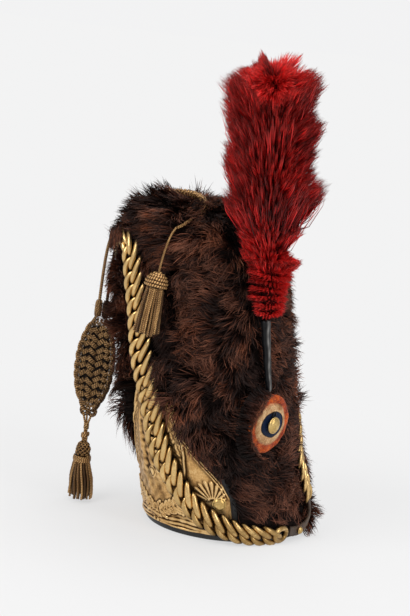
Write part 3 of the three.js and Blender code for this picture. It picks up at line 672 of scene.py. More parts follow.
def chin_chain():
    links = int(round(CH["total"] / CHAIN_PITCH))
    bag, link_hollow_and_light = Bag(), []
    peak = CH["s"][np.argmax(CH["p"][:, 2])]
    q_ = rng(60)
    for k in range(links):
        s0 = (k + 0.5) / links * CH["total"]
        share = s0 / peak
        z0 = float(np.interp(s0, CH["s"], CH["p"][:, 2]))
        front = share < 1.02
        h = float(np.interp(z0, [12, 20, 60, 100, 200, 250, 330], [11.2, 11.8, 11.8, 12.4, 12.2, 11.0, 9.8])) if front else 8.8
        rb = float(np.interp(z0, [12, 60, 120, 220, 300], [3.15, 3.15, 2.95, 2.8, 2.6])) if front else 2.4
        # Up the front the chain lies turned a little to the left.
        tilt = math.radians(30) * float(smooth(60, 130, z0)) * (float(smooth(1.0, 0.93, share)) if front else 0.0)
        push = -(1.0 + 4.0 * float(smooth(16, 34, z0))) * float(smooth(150, 100, z0)) * front
        size = rb / 3.15
        if k == 0:
            a = np.linspace(0, TAU, 19)[:-1]
            c = np.stack([7.4 * np.cos(a), 0.9 + 1.6 * np.sin(a + 0.5), 9.8 * np.sin(a) + 2.0, np.full(18, 3.5)], 1)
        else:
            c = LINK * [h - rb, size, 1, rb]
            c[:, 2] *= 0.95 + q_.normal(0, 0.015)
        c = curve(c, 34, closed=True)
        p, q = c[:, 0] * math.cos(tilt) + c[:, 1] * math.sin(tilt), c[:, 1] * math.cos(tilt) - c[:, 0] * math.sin(tilt)
        sway = q_.normal(0, 0.25)
        line = on_path(CH, s0 + c[:, 2] + q_.normal(0, 0.25), p + push + sway, q + 0.5)
        v, f, uv = tube(line, c[:, 3], 11, closed=True)
        v[:, 2] = np.maximum(v[:, 2], 0.5)
        bag.add(v, f, uv)
        # How deep each place lies in the chain, darkened between the links as painted shade, with the upper run made
        # lighter and the lowest links darker as painted light.
        ring = v.reshape(34, 11, 3)
        rise = ((ring - line[:, None]) * np.stack([np.interp(s0 + c[:, 2], CH["s"], CH["out"][:, i]) for i in range(3)], 1)[:, None]).sum(-1)
        link_hollow_and_light.append((smooth(-1.6, 3.6, c[:, 1][:, None] + 0.8 * rise) * (1 + 0.55 * smooth(170, 290, z0) - 0.27 * smooth(62, 20, z0) - 0.05 * smooth(160, 100, z0))).ravel())
    v, f, _ = bag.done()
    ob = add_mesh("chin_chain", v, f, CHAIN_BRASS, "chain_brass", levels={"hollow_and_light": np.concatenate(link_hollow_and_light)})
    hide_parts("chain_rim", "chain_plate", "chain_front", "chain_right", "chain_back", "chain_left")
    print("chain links", links, "length", round(CH["total"], 1))


chin_chain()

# ---------------------------------------------------------------- fur


def front_arc_table():
    zs = np.linspace(0, 361, 60)
    th = np.radians(np.linspace(-270, 90, 721))
    A = np.zeros((len(zs), len(th)))
    for i, z in enumerate(zs):
        y, a, b = table(BODY, z)
        d = np.hypot(a * np.sin(th), b * np.cos(th)) * (th[1] - th[0])
        c = np.cumsum(d)
        A[i] = c - np.interp(-math.pi / 2, th, c)
    return zs, th, A


ARC_Z, ARC_T, ARC_A = front_arc_table()


def front_arc(theta, z):
    """How far round the body from the middle of the front, towards the wearer's left."""
    t = (np.asarray(theta) + math.pi * 1.5) % TAU - math.pi * 1.5
    i = np.clip(np.interp(z, ARC_Z, np.arange(len(ARC_Z))), 0, len(ARC_Z) - 1.001)
    j = np.clip((t - ARC_T[0]) / (ARC_T[1] - ARC_T[0]), 0, len(ARC_T) - 1.001)
    i0, j0 = i.astype(int), j.astype(int)
    fi, fj = i - i0, j - j0
    return ((ARC_A[i0, j0] * (1 - fj) + ARC_A[i0, j0 + 1] * fj) * (1 - fi) + (ARC_A[i0 + 1, j0] * (1 - fj) + ARC_A[i0 + 1, j0 + 1] * fj) * fi)


def at_arc(arc, z):
    """The angle at a distance round from the front: front_arc turned round, for one height."""
    i = float(np.clip(np.interp(z, ARC_Z, np.arange(len(ARC_Z))), 0, len(ARC_Z) - 1.001))
    i0 = int(i)
    row = ARC_A[i0] * (1 - i + i0) + ARC_A[i0 + 1] * (i - i0)
    return np.interp(arc, row, ARC_T)


def rows_at(T, s):
    k = np.arange(len(T))
    return [np.interp(s, k, T[:, c]) for c in range(4)]


def ring_point(T, theta, s, off=0.0):
    z, y, a, b = rows_at(T, s)
    return np.stack([(a + off) * np.cos(theta), y + (b + off) * np.sin(theta), z], -1)


ROOTS = BODY[1:]
TOP_S = len(OUTLINE) - 1.0


def scatter(count, seed):
    """Places over the fur's form, even by area: an angle and a place along the rows."""
    r = rng(seed)
    th, s = np.meshgrid(np.linspace(0, TAU, 181)[:-1], np.linspace(0, TOP_S, 241)[:-1])
    th, s = th.ravel() + math.pi / 180, s.ravel() + TOP_S / 480
    dth, ds = TAU / 180, TOP_S / 240
    e = 1e-3
    P = ring_point(OUTLINE, th, s)
    A = np.linalg.norm(np.cross(ring_point(OUTLINE, th + e, s) - P, ring_point(OUTLINE, th, s + e) - P), axis=1)
    c = np.cumsum(A)
    k = np.searchsorted(c, (np.arange(count) + r.uniform(0, 1, count)) / count * c[-1])
    k = np.minimum(k, len(th) - 1)
    return th[k] + r.uniform(-0.5, 0.5, count) * dth, s[k] + r.uniform(-0.5, 0.5, count) * ds


def flow_at(theta, s, P):
    """The way the fur lies: down the cap, turned into swirls."""
    e = 1e-3
    et = unit(ring_point(OUTLINE, theta + e, s) - ring_point(OUTLINE, theta - e, s))
    es = unit(ring_point(OUTLINE, theta, np.minimum(s + e, TOP_S)) - ring_point(OUTLINE, theta, s - e))
    turn = 1.05 * ripple(P, 62, 11) + 0.75 * ripple(P, 27, 12)
    # Whorls that show on the left side and the front, as centres with a turning sense and a reach.
    for c, sense, reach in WHORLS:
        d = np.linalg.norm(P - np.array(c), axis=1)
        turn = turn + sense * np.exp(-(d / reach) ** 2)
    high = smooth(9.4, 11.0, s)
    turn = turn * (1 - 0.4 * high)
    return unit(-es * np.cos(turn)[:, None] + et * np.sin(turn)[:, None]), unit(np.cross(et, es))


WHORLS = [((86, -95, 250), 1.8, 30), ((60, -135, 205), -1.9, 32), ((95, -70, 215), 2.2, 26), ((70, -130, 290), -1.2, 36), ((96, -20, 95), 1.4, 34), ((92, -70, 100), -1.5, 30), ((80, -130, 150), 1.6, 28)]

# Places where the fur lies thin, its tone darkened there as painted shade, and where it stands up in a tuft: a point, a
# reach and how much.
DIPS = [((78, -128, 262), 15, 0.50), ((74, -136, 232), 14, 0.45), ((88, -100, 196), 20, 0.42), ((66, -140, 300), 13, 0.4), ((98, -45, 200), 14, 0.3), ((97, -35, 70), 14, 0.3)]
TUFTS = [((-30, -195, 372), 20, 0.95), ((-50, -152, 374), 14, 0.9), ((-50, -118, 377), 11, 0.7), ((-46, -80, 378), 8, 1.3), ((36, -150, 384), 12, 0.7), ((-55, -186, 352), 16, 0.6),
         ((97, -88, 150), 9, 0.7), ((98, -84, 168), 8, 0.6), ((64, 4, 226), 9, 0.95), ((65, 14, 190), 8, 0.8), ((67, 22, 160), 9, 0.9), ((66, 34, 128), 8, 0.7), ((62, 55, 92), 9, 0.6), ((63, -9, 262), 8, 0.6),
         ((-57, -178, 320), 10, 0.6), ((-56, -172, 275), 9, 0.5), ((-57, -162, 222), 18, 1.15), ((-57, -154, 190), 12, 0.7), ((-57, -150, 165), 11, 0.8), ((-55, -143, 128), 9, 0.7),
         ((68, 60, 28), 13, 1.25), ((96, 28, 118), 10, 0.5), ((90, 52, 48), 10, 0.5)]


# Where the hair grows longer and hangs further down.
HANGS = [((-52, -132, 104), 24, 2.5), ((60, -150, 330), 25, 0.3)]


def fur_strands(count, seed):
    r = rng(seed)
    th, s = scatter(count, seed + 1)
    cth, cs = scatter(3400, 501)
    tth, ts = scatter(760, 502)

    def nearest(points, queries):
        kd = KDTree(len(points))
        for i, p in enumerate(points):
            kd.insert(p, i)
        kd.balance()
        found = [kd.find(q) for q in queries]
        return np.array([f_[1] for f_ in found]), np.array([f_[2] for f_ in found])

    # Every strand belongs to a lock, and every lock to a tuft that turns, stands and shades in its own way.
    top, ctop, ttop = ring_point(OUTLINE, th, s), ring_point(OUTLINE, cth, cs), ring_point(OUTLINE, tth, ts)
    near_c, far_c = nearest(ctop.tolist(), top.tolist())
    near_t, _ = nearest(ttop.tolist(), ctop.tolist())
    own_t, far_t = nearest(ttop.tolist(), (top + rng(508).normal(0, 1.6, top.shape)).tolist())
    q = rng(507)
    turn_t, stand_t, tone_t = q.normal(0, 0.55, len(tth)), q.normal(0, 0.10, len(tth)), q.normal(0, 0.11, len(tth))
    edge_t = smooth(5.5, 12.5, far_t)

    def tips(theta, s_, rr, spread, reach, tuft):
        root = ring_point(ROOTS, theta, s_, 1.2)
        top = ring_point(OUTLINE, theta, s_)
        up_ = top - root
        flow, nrm = flow_at(theta, s_, top)
        down = 1 - 0.9 * np.exp(-(np.linalg.norm(top - np.array(HANGS[0][0]), axis=1) / 26) ** 2)
        turn = ((turn_t[tuft] + 0.5 * ripple(top, 15, 23)) * down)[:, None]
        flow = flow * np.cos(turn) + np.cross(nrm, flow) * np.sin(turn)
        f = rr.normal(0.90, 0.06, len(theta)) + 0.12 * ripple(top, 36, 21) + stand_t[tuft]
        for c, w, amount in DIPS:
            f = f - amount * np.exp(-(np.linalg.norm(top - np.array(c), axis=1) / w) ** 2)
        lift = np.zeros(len(theta))
        for c, w, amount in TUFTS:
            lift = lift + amount * np.exp(-(np.linalg.norm(top - np.array(c), axis=1) / w) ** 2)
        f = np.clip(f, 0.32, 1.16)
        long_ = reach * np.clip(rr.normal(1, 0.18, len(theta)), 0.6, 1.5)
        for c, w, amount in HANGS:
            long_ = long_ * (1 + amount * np.exp(-(np.linalg.norm(top - np.array(c), axis=1) / w) ** 2))
        side = np.cross(nrm, flow)
        sway = rr.normal(0, spread, (len(theta), 1))
        F = unit(flow + side * sway) * long_[:, None]
        tip = root + up_ * f[:, None] + F * (1 - 0.75 * np.clip(lift, 0, 1))[:, None]
        tip = tip + nrm * (lift * 16)[:, None] + np.array([0, 0, 1.0]) * (lift * 5)[:, None]
        return root, up_, f, F, tip, nrm

    root, up_, f, F, tip, nrm = tips(th, s, r, 0.45, 20, own_t)
    f = f - 0.16 * edge_t
    _, _, _, _, ctip, _ = tips(cth, cs, rng(503), 0.50, 22, near_t)
    _, _, _, _, ttip, _ = tips(tth, ts, rng(504), 0.35, 25, np.arange(len(tth)))
    ctip = ctip * 0.64 + ttip[near_t] * 0.36
    k1 = np.clip(r.normal(0.66, 0.20, count), 0.05, 0.96)[:, None]
    loose = r.uniform(0, 1, count) < 0.15
    k1[loose] *= 0.35
    tip = tip * (1 - k1) + ctip[near_c] * k1 + r.normal(0, 1.5, (count, 3))
    tip = tip + (nrm * 6.0 * r.uniform(0.1, 1, count)[:, None]) * loose[:, None]
    t = np.array([0.0, 0.3, 0.58, 0.82, 1.0])
    rise = 1 - (1 - t) ** 1.9
    lean = t ** 1.55
    base = up_ * f[:, None]
    C = root[:, None] + base[:, None] * rise[None, :, None] + (tip - root - base)[:, None] * lean[None, :, None]
    # A little wave along each strand.
    wob = unit(np.cross(tip - root, nrm))
    bend, bend2 = r.normal(0, 1.7, count)[:, None], r.normal(0, 0.8, count)[:, None]
    curl = (q.normal(0, 4.2, len(cth))[near_c] + r.normal(0, 1.6, count))[:, None]
    C = C + wob[:, None] * ((t ** 2.2)[None] * curl)[..., None]
    C = C + wob[:, None] * (np.sin(t * 3.1)[None] * bend + np.sin(t * 7.0)[None] * bend2)[..., None]
    # Painted shade: strands at the edges of tufts and far from their lock's middle are darkened, and so are those in
    # the dips below.
    tone = 0.37 + 0.08 * ripple(ctop, 46, 31)[near_c] + 0.17 * ripple(ctop, 36, 21)[near_c] + 0.9 * tone_t[own_t] - 0.30 * edge_t - 0.14 * smooth(2.6, 6.0, far_c) + rng(505).normal(0, 0.13, len(cth))[near_c] + r.normal(0, 0.16, count)
    tone = tone + np.where(r.uniform(0, 1, count) < 0.05, 0.30, 0.0)
    tone = tone + 0.14 * smooth(120, 40, top[:, 2]) + 0.10 * ripple(top, 14, 33)
    for c, w, amount in DIPS:
        tone = tone - amount * 0.7 * np.exp(-(np.linalg.norm(top - np.array(c), axis=1) / w) ** 2)
    for c, w, amount in TONES:
        tone = tone + amount * np.exp(-(np.linalg.norm(top - np.array(c), axis=1) / w) ** 2)
    return th, s, C, nrm, np.clip(tone, 0.02, 0.97), r


TONES = [((55, -160, 300), 26, 0.22), ((92, -100, 240), 24, 0.16), ((60, -150, 258), 22, 0.12), ((88, -40, 50), 34, 0.14), ((84, -125, 215), 22, 0.10),
         ((-20, -185, 350), 40, -0.08), ((30, -150, 384), 22, -0.12), ((66, -150, 345), 24, 0.10)]


PEAK = float(CH["s"][np.argmax(CH["p"][:, 2])] / CH["total"])


def chain_kd(step=4):
    idx = np.arange(0, len(CH["p"]), step)
    kd = KDTree(len(idx))
    for i in idx:
        kd.insert(CH["p"][i], int(i))
    kd.balance()
    return kd


def clear_of_parts(th, s, C, r, shaggy=1.0):
    """True for strands that keep off the plate, the chain, the cockade, the stem, the cords and the tassels."""
    n, K = C.shape[:2]
    keep = np.ones(n, bool)
    # Plate
    z = C[:, 0, 2]
    arc = front_arc(th, z)
    half = np.interp(z, PLATE[:, 0], PLATE[:, 1], left=91, right=-5)
    inside = half + 1.0 - np.abs(arc)
    keep &= ~((inside > 0) & (z < 176))
    for k in range(1, K):
        p = C[:, k]
        y, a, b = table(BODY, np.clip(p[:, 2], 0, 360))
        ang = np.arctan2((p[:, 1] - y) / (b + 12), p[:, 0] / (a + 12))
        arc = front_arc(ang, np.clip(p[:, 2], 0, 360))
        half = np.interp(p[:, 2], PLATE[:, 0], PLATE[:, 1], left=91, right=-5)
        over = half - np.abs(arc)
        limit = np.where(p[:, 2] > 132, 8.0, 6.5) * r.uniform(0.2, 1.2, n) * np.where(p[:, 0] < -20, 8.0, 1.0)
        keep &= ~(over > limit)
    # Chain
    kd = chain_kd()
    s_over = CH["s"]
    for k in range(1, K):
        p = C[:, k]
        i = np.array([kd.find(q)[1] for q in p.tolist()])
        d = p - CH["p"][i]
        lat = np.abs((d * CH["side"][i]).sum(1))
        lon = np.abs((d * CH["along"][i]).sum(1))
        out = (d * CH["out"][i]).sum(1)
        share = s_over[i] / CH["total"]
        hidden = share > PEAK - 0.004
        wide = CH["half"][i] + np.where(hidden, -3.0, 0.6)
        hit = (lat < wide) & (out > -3.6) & (lon < 12)
        hit &= ~(hidden & (r.uniform(0, 1, n) < 0.6))
        keep &= ~hit
    # Cockade
    ang = math.radians(-90 + COCKADE_TURN)
    cn = np.array([math.cos(ang + math.pi / 2), math.sin(ang + math.pi / 2), 0])
    frontward = np.array([cn[1], -cn[0], 0]) * (1 if -cn[0] < 0 else -1)
    for k in range(1, K):
        d = C[:, k] - COCKADE_AT
        h = d @ cn
        q = d - h[:, None] * cn
        rr = np.linalg.norm(q, axis=1)
        toward = (q[:, 1] < 6) & (q[:, 2] > -24)
        edge = np.where(toward, 31.5 - 7.5 * r.uniform(0, 1, n) ** 1.3, 35.0)
        keep &= ~((rr < edge) & (h > -2.0))
    # Stem
    a, b = STEM[0, :3], STEM[-1, :3]
    ab = b - a
    for k in range(1, K):
        d = C[:, k] - a
        t = np.clip((d @ ab) / (ab @ ab), 0, 1)
        q = d - t[:, None] * ab
        keep &= ~((np.hypot(q[:, 1], q[:, 2]) < 6.4) & (q[:, 0] > -5))
    # Braid, half sunk in the fur
    bl = curve(SUNK_BRAID, 60)
    for k in range(1, K):
        d = np.linalg.norm(C[:, k][:, None] - bl[None, ::2], axis=2).min(1) if n < 4000 else near_line(C[:, k], bl)
        keep &= ~((d < np.where(C[:, k, 0] < -30, 5.0, 2.6)) & (r.uniform(0, 1, n) < np.where(C[:, k, 0] > -4, 0.25, 0.8) * shaggy))
    # Hanging pieces
    for k in range(1, K):
        p = C[:, k]
        d = p - FRONT_HANG
        keep &= ~((np.hypot(d[:, 0] + 0.05 * d[:, 2], d[:, 1] - 0.04 * d[:, 2]) < 13) & (d[:, 2] < 2) & (d[:, 2] > -70))
        keep &= ~((near_line(p, front_line[::4]) < 2.6) & (p[:, 2] < 372))
        d = p - HANG
        keep &= ~((np.abs(d @ across) < 27) & (np.abs(d @ facing) < 9) & (p[:, 2] < 322))
        h0 = HANG + np.array([0, 0, 165.0])
        lateral, ahead = (p - h0) @ SIDEWAYS, -(p - h0) @ LOOK
        high = (p - h0) @ np.cross(SIDEWAYS, LOOK)
        keep &= ~((np.abs(lateral) < oval_half(np.clip(165 + high, 107, 217)) - 0.5 - 3.0 * r.uniform(0, 1, n)) & (np.abs(high) < 62) & (ahead > -6) & (ahead < 140))
    # Strap and stud, and the place under the chain's end
    line = chain_path(STRAP)["p"][::90]
    for k in range(K):
        p = C[:, k]
        y, a, b = table(BODY, np.clip(p[:, 2], 0, 360))
        rise = np.hypot(p[:, 0] / a, (p[:, 1] - y) / b)
        keep &= ~((near_line(p, line) < 9.5) & ((k > 0) | (rise > 1.02)))
    ang = np.degrees(np.arctan2(C[:, 0, 1], C[:, 0, 0]))
    keep &= ~((C[:, -1, 2] < 12) & (ang > -60) & (ang < 17))
    return keep


def near_line(p, line):
    best = np.full(len(p), 1e9)
    for q in line:
        best = np.minimum(best, np.linalg.norm(p - q, axis=1))
    return best


def ribbons(name, C, nrm, width, tone, material, slot, profile, seed, spread=0.55):
    """One thin pointed strip for each strand, its face turned outwards."""
    n, K = C.shape[:2]
    r = rng(seed)
    tang = unit(np.gradient(C, axis=1))
    facing_ = unit(nrm + r.normal(0, spread, (n, 3)))
    D = unit(np.cross(tang, facing_[:, None]))
    W = width[:, None] * np.asarray(profile)[None, :-1] * 0.5
    left, right_ = C[:, :-1] - D[:, :-1] * W[..., None], C[:, :-1] + D[:, :-1] * W[..., None]
    per = 2 * (K - 1) + 1
    v = np.zeros((n, per, 3))
    v[:, 0:2 * (K - 1):2], v[:, 1:2 * (K - 1):2], v[:, -1] = left, right_, C[:, -1]
    t = np.linspace(0, 1, K)
    uv = np.zeros((n, per, 2))
    uv[:, 0:2 * (K - 1):2, 0] = tone[:, None]
    uv[:, 1:2 * (K - 1):2, 0] = tone[:, None] + 0.012
    uv[:, 0:2 * (K - 1):2, 1] = t[:-1]
    uv[:, 1:2 * (K - 1):2, 1] = t[:-1]
    uv[:, -1] = np.stack([tone + 0.006, np.ones(n)], 1)
    uv = np.clip(uv, 0.004, 0.996)
    base = np.arange(n)[:, None] * per
    quads = np.concatenate([base + np.array([[2 * k, 2 * k + 1, 2 * k + 3, 2 * k + 2]]) for k in range(K - 2)])
    tris = base + np.array([[2 * (K - 2), 2 * (K - 2) + 1, 2 * (K - 1)]])
    return add_mesh(name, v.reshape(-1, 3), [quads, tris], material, slot, uv.reshape(-1, 2))


def keep_low(C, floor=1.2):
    """Nothing hangs below the surface that the cap stands on."""
    C[..., 2] = np.maximum(C[..., 2], floor + 0.3 * np.arange(C.shape[1]) * 0)
    return C


FUR_TOTAL = 76800


def fur_over_chain_top():
    """The tuft that hangs over the chain where it turns over and goes down the far side."""
    q = rng(530)
    n = 620
    P = CH["p"][int(np.argmax(CH["p"][:, 2]))]
    above = np.cross(SIDEWAYS, LOOK)
    side = q.uniform(-14, -2.5, n)
    locks = q.uniform(-14, -2.5, 14)
    near = locks[np.argmin(np.abs(side[:, None] - locks[None]), axis=1)]
    end = side * 0.45 + near * 0.55 + q.normal(-2.0, 1.5, n)
    high = q.uniform(1, 12, n) - 0.35 * np.abs(side + 6)
    fall = q.uniform(3, 20, n) * np.interp(side, [-14, -8, -2.5], [1.15, 1.0, 0.7])
    ahead = q.uniform(7.5, 11.5, n)
    t = np.array([0.0, 0.3, 0.58, 0.82, 1.0])
    s_ = side[:, None] * (1 - t) + end[:, None] * t
    u_ = high[:, None] + 2.5 * np.sin(np.pi * t * 0.8) - fall[:, None] * t ** 1.4
    f_ = -4.0 + (ahead[:, None] + 4.0) * (1 - (1 - t) ** 2.4)
    C = P + SIDEWAYS * s_[..., None] + above * u_[..., None] - LOOK * f_[..., None]
    tone = np.clip(0.15 + q.normal(0, 0.14, n), 0.03, 0.9)
    return C, np.tile(unit(-LOOK + 0.3 * above), (n, 1)), tone


def fur_over_cockade():
    """Hair that grows beside the cockade and lies over its left edge, most at the upper and lower left."""
    q = rng(520)
    n = 1300
    side_pick = q.uniform(0, 1, n)
    ang = np.where(side_pick < 0.45, q.normal(140, 14, n), np.where(side_pick < 0.85, q.normal(222, 15, n), q.uniform(120, 240, n)))
    locks = q.uniform(0, 360, 90)
    near = locks[np.argmin(np.abs(ang[:, None] - locks[None]), axis=1)]
    ang = ang * 0.55 + near * 0.45
    phi = np.radians(ang)
    reach = 0.3 + 6.6 * np.exp(-((ang - 143) / 15) ** 2) + 4.2 * np.exp(-((ang - 224) / 14) ** 2)
    tip_r = 34.5 - reach * q.uniform(0.15, 1.0, n) ** 0.8
    a = math.radians(COCKADE_TURN)
    cn, e1, e2 = np.array([math.cos(a), math.sin(a), 0]), np.array([-math.sin(a), math.cos(a), 0]), np.array([0, 0, 1.0])
    rad = np.stack([q.uniform(37, 46, n), q.uniform(35.5, 41, n), (33.5 + tip_r) / 2 + 3.0, tip_r + 2.0, tip_r], 1)
    high = np.stack([np.full(n, -6.0), q.uniform(1, 6, n), q.uniform(6, 9.5, n), q.uniform(7.5, 11, n), q.uniform(7.0, 10.5, n)], 1)
    drift = q.normal(0, 5.0, n)[:, None] * np.array([-0.6, -0.2, 0.2, 0.7, 1.0])[None]
    d = e1 * np.cos(phi)[:, None] + e2 * np.sin(phi)[:, None]
    s_ = e1 * -np.sin(phi)[:, None] + e2 * np.cos(phi)[:, None]
    C = COCKADE_AT + d[:, None] * rad[..., None] + s_[:, None] * drift[..., None] + cn * high[..., None]
    C[:, :, 2] -= (np.array([0, 0, 0.6, 1.6, 3.0])[None] * q.uniform(0.3, 1.3, n)[:, None])
    tone = np.clip(0.32 + q.normal(0, 0.17, n), 0.03, 0.9)
    return C, np.tile(cn, (n, 1)), tone


def fur():
    th, s, C, nrm, tone, r = fur_strands(FUR_TOTAL, 40)
    keep = clear_of_parts(th, s, C, r)
    th, s, C, nrm, tone = th[keep], s[keep], keep_low(C[keep]), nrm[keep], tone[keep]
    for over in (fur_over_cockade(), fur_over_chain_top()):
        C, nrm, tone = np.concatenate([C, over[0]]), np.concatenate([nrm, over[1]]), np.concatenate([tone, over[2]])
    width = r.uniform(0.60, 1.15, len(C))
    # Parted by height into pieces of like size.
    order = np.argsort(C[:, 0, 2])
    parts = np.array_split(order, 3)
    for name, idx in zip(("fur_low", "fur_middle", "fur_high"), parts):
        ribbons(name, C[idx], nrm[idx], width[idx], tone[idx], FUR_MAT, "dark_fur", (0.8, 1.0, 0.9, 0.55, 0), 41)
    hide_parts("fur_cover")
    print("fur strands", len(C))


def under_fur():
    """The dark hide under the hair, closed, with the plate's window and the chain's line left low."""
    nt, ns = 116, 62
    th = np.arange(nt) / nt * TAU
    ss = np.linspace(0.0, TOP_S - 0.02, ns)
    T, S = np.meshgrid(th, ss)
    root, top = ring_point(ROOTS, T.ravel(), S.ravel(), 0.7), ring_point(OUTLINE, T.ravel(), S.ravel())
    f = 0.42 + 0.10 * ripple(top, 14, 61) + 0.06 * ripple(top, 6, 62)
    for c, w, amount in DIPS:
        f = f - amount * 0.5 * np.exp(-(np.linalg.norm(top - np.array(c), axis=1) / w) ** 2)
    kd = chain_kd()
    i = np.array([kd.find(q)[1] for q in (root * 0.4 + top * 0.6).tolist()])
    d = (root * 0.4 + top * 0.6) - CH["p"][i]
    lat = np.linalg.norm(d - CH["out"][i] * (d * CH["out"][i]).sum(1, keepdims=True), axis=1)
    thick = np.linalg.norm(top - root, axis=1)
    stand = np.linalg.norm(CH["p"][i] - root, axis=1)
    low = np.clip((stand - 8) / thick, 0.05, 1)
    f = np.where(lat < 20, np.minimum(f, lerp(low, f, smooth(11, 20, lat))), f)
    d = root * 0.3 + top * 0.7 - COCKADE_AT
    f = np.where(np.linalg.norm(d, axis=1) < 40, np.minimum(f, 0.40), f)
    f = np.clip(f, 0.04, 0.62)
    z0 = root[:, 2]
    arc = front_arc(T.ravel(), z0)
    half = np.interp(z0, PLATE[:, 0], PLATE[:, 1], left=91, right=-9)
    open_ = ((np.abs(arc) < half + 2.5) & (z0 < 178))
    outer = root + (top - root) * f[:, None]
    outer[:, 2] = np.maximum(outer[:, 2], 8.5)
    inner = ring_point(ROOTS, T.ravel(), S.ravel(), 0.35)
    inner[:, 2] = np.maximum(inner[:, 2], 8.5)
    n = nt * ns
    v = np.vstack([outer, inner, outer[-nt:].mean(0)[None] + [0, 0, 0.4], inner[-nt:].mean(0)[None] + [0, 0, 0.4]])
    solid = ~open_.reshape(ns, nt)
    i, j = np.arange(ns - 1)[:, None], np.arange(nt)[None]
    j2 = (j + 1) % nt
    cell = solid[:-1] & solid[1:] & np.roll(solid, -1, 1)[:-1] & np.roll(solid, -1, 1)[1:]
    quad = np.stack([i * nt + j, i * nt + j2, (i + 1) * nt + j2, (i + 1) * nt + j], -1)
    faces = [quad[cell], (quad[cell] + n)[:, ::-1]]
    walls = []
    for (di, dj, a, b) in ((-1, 0, 1, 0), (1, 0, 3, 2), (0, -1, 0, 3), (0, 1, 2, 1)):
        if di:
            other = np.zeros_like(cell)
            if di < 0:
                other[1:] = cell[:-1]
            else:
                other[:-1] = cell[1:]
                other[-1] = True
        else:
            other = np.roll(cell, -dj, 1)
        edge = cell & ~other
        q = quad[edge]
        walls.append(np.stack([q[:, a], q[:, b], q[:, b] + n, q[:, a] + n], 1))
    faces += walls
    j = np.arange(nt)
    j2 = (j + 1) % nt
    last = (ns - 1) * nt
    faces.append(np.stack([last + j, last + j2, np.full(nt, 2 * n)], 1))
    faces.append(np.stack([n + last + j2, n + last + j, np.full(nt, 2 * n + 1)], 1))
    used = np.zeros(len(v), bool)
    for f_ in faces:
        used[f_.ravel()] = True
    remap = np.cumsum(used) - 1
    add_mesh("under_fur", v[used], [remap[f_] for f_ in faces], skin_material(), "dark_fur")


under_fur()
fur()

# ---------------------------------------------------------------- plume
PL_AXIS = PLUME[:, :3]
PL_TOP = 544.0


def plume_at(z):
    return [np.interp(z, PLUME[:, 2], PLUME[:, k]) for k in (0, 1, 3)]


# The plume's own ragged outline: height, and how far it reaches to the left and to the right.
RAGGED = np.array([
    (266, 10, 10), (270, 13, 13), (278, 15, 16.4), (286, 21, 15), (294, 19, 17.5), (302, 23, 20), (310, 21, 23), (318, 25, 24), (326, 24, 28),
    (334, 31, 32), (340, 30, 18), (350, 31, 18), (358, 31.4, 28), (366, 32.5, 35), (374, 37, 32), (382, 44.0, 32), (390, 46.5, 32), (396, 46, 45),
    (402, 43, 53), (414, 47, 55), (422, 50.2, 55), (430, 51, 43), (438, 49, 40.8), (446, 48, 44), (454, 45, 44), (462, 45.4, 45),
    (470, 49, 50), (478, 50, 54), (486, 50, 51), (494, 49.3, 39.5), (502, 50, 43), (510, 51.5, 46), (518, 48, 51), (526, 34, 49),
    (534, 16, 45), (542, 15, 31), (546, 12, 14)], float)
heart = np.array([109.0, -125.5, 512.0]) - np.array([LOOK[0], LOOK[1], 0]) * 13


def outline(z, ph):
    """How far the plume's strands reach from its middle line, at a height and an angle."""
    lo, hi = np.interp(z, RAGGED[:, 0], RAGGED[:, 1]), np.interp(z, RAGGED[:, 0], RAGGED[:, 2])
    c = np.cos(ph) * SIDEWAYS[0] + np.sin(ph) * SIDEWAYS[1]
    return (lo + hi) / 2 + (hi - lo) / 2 * c


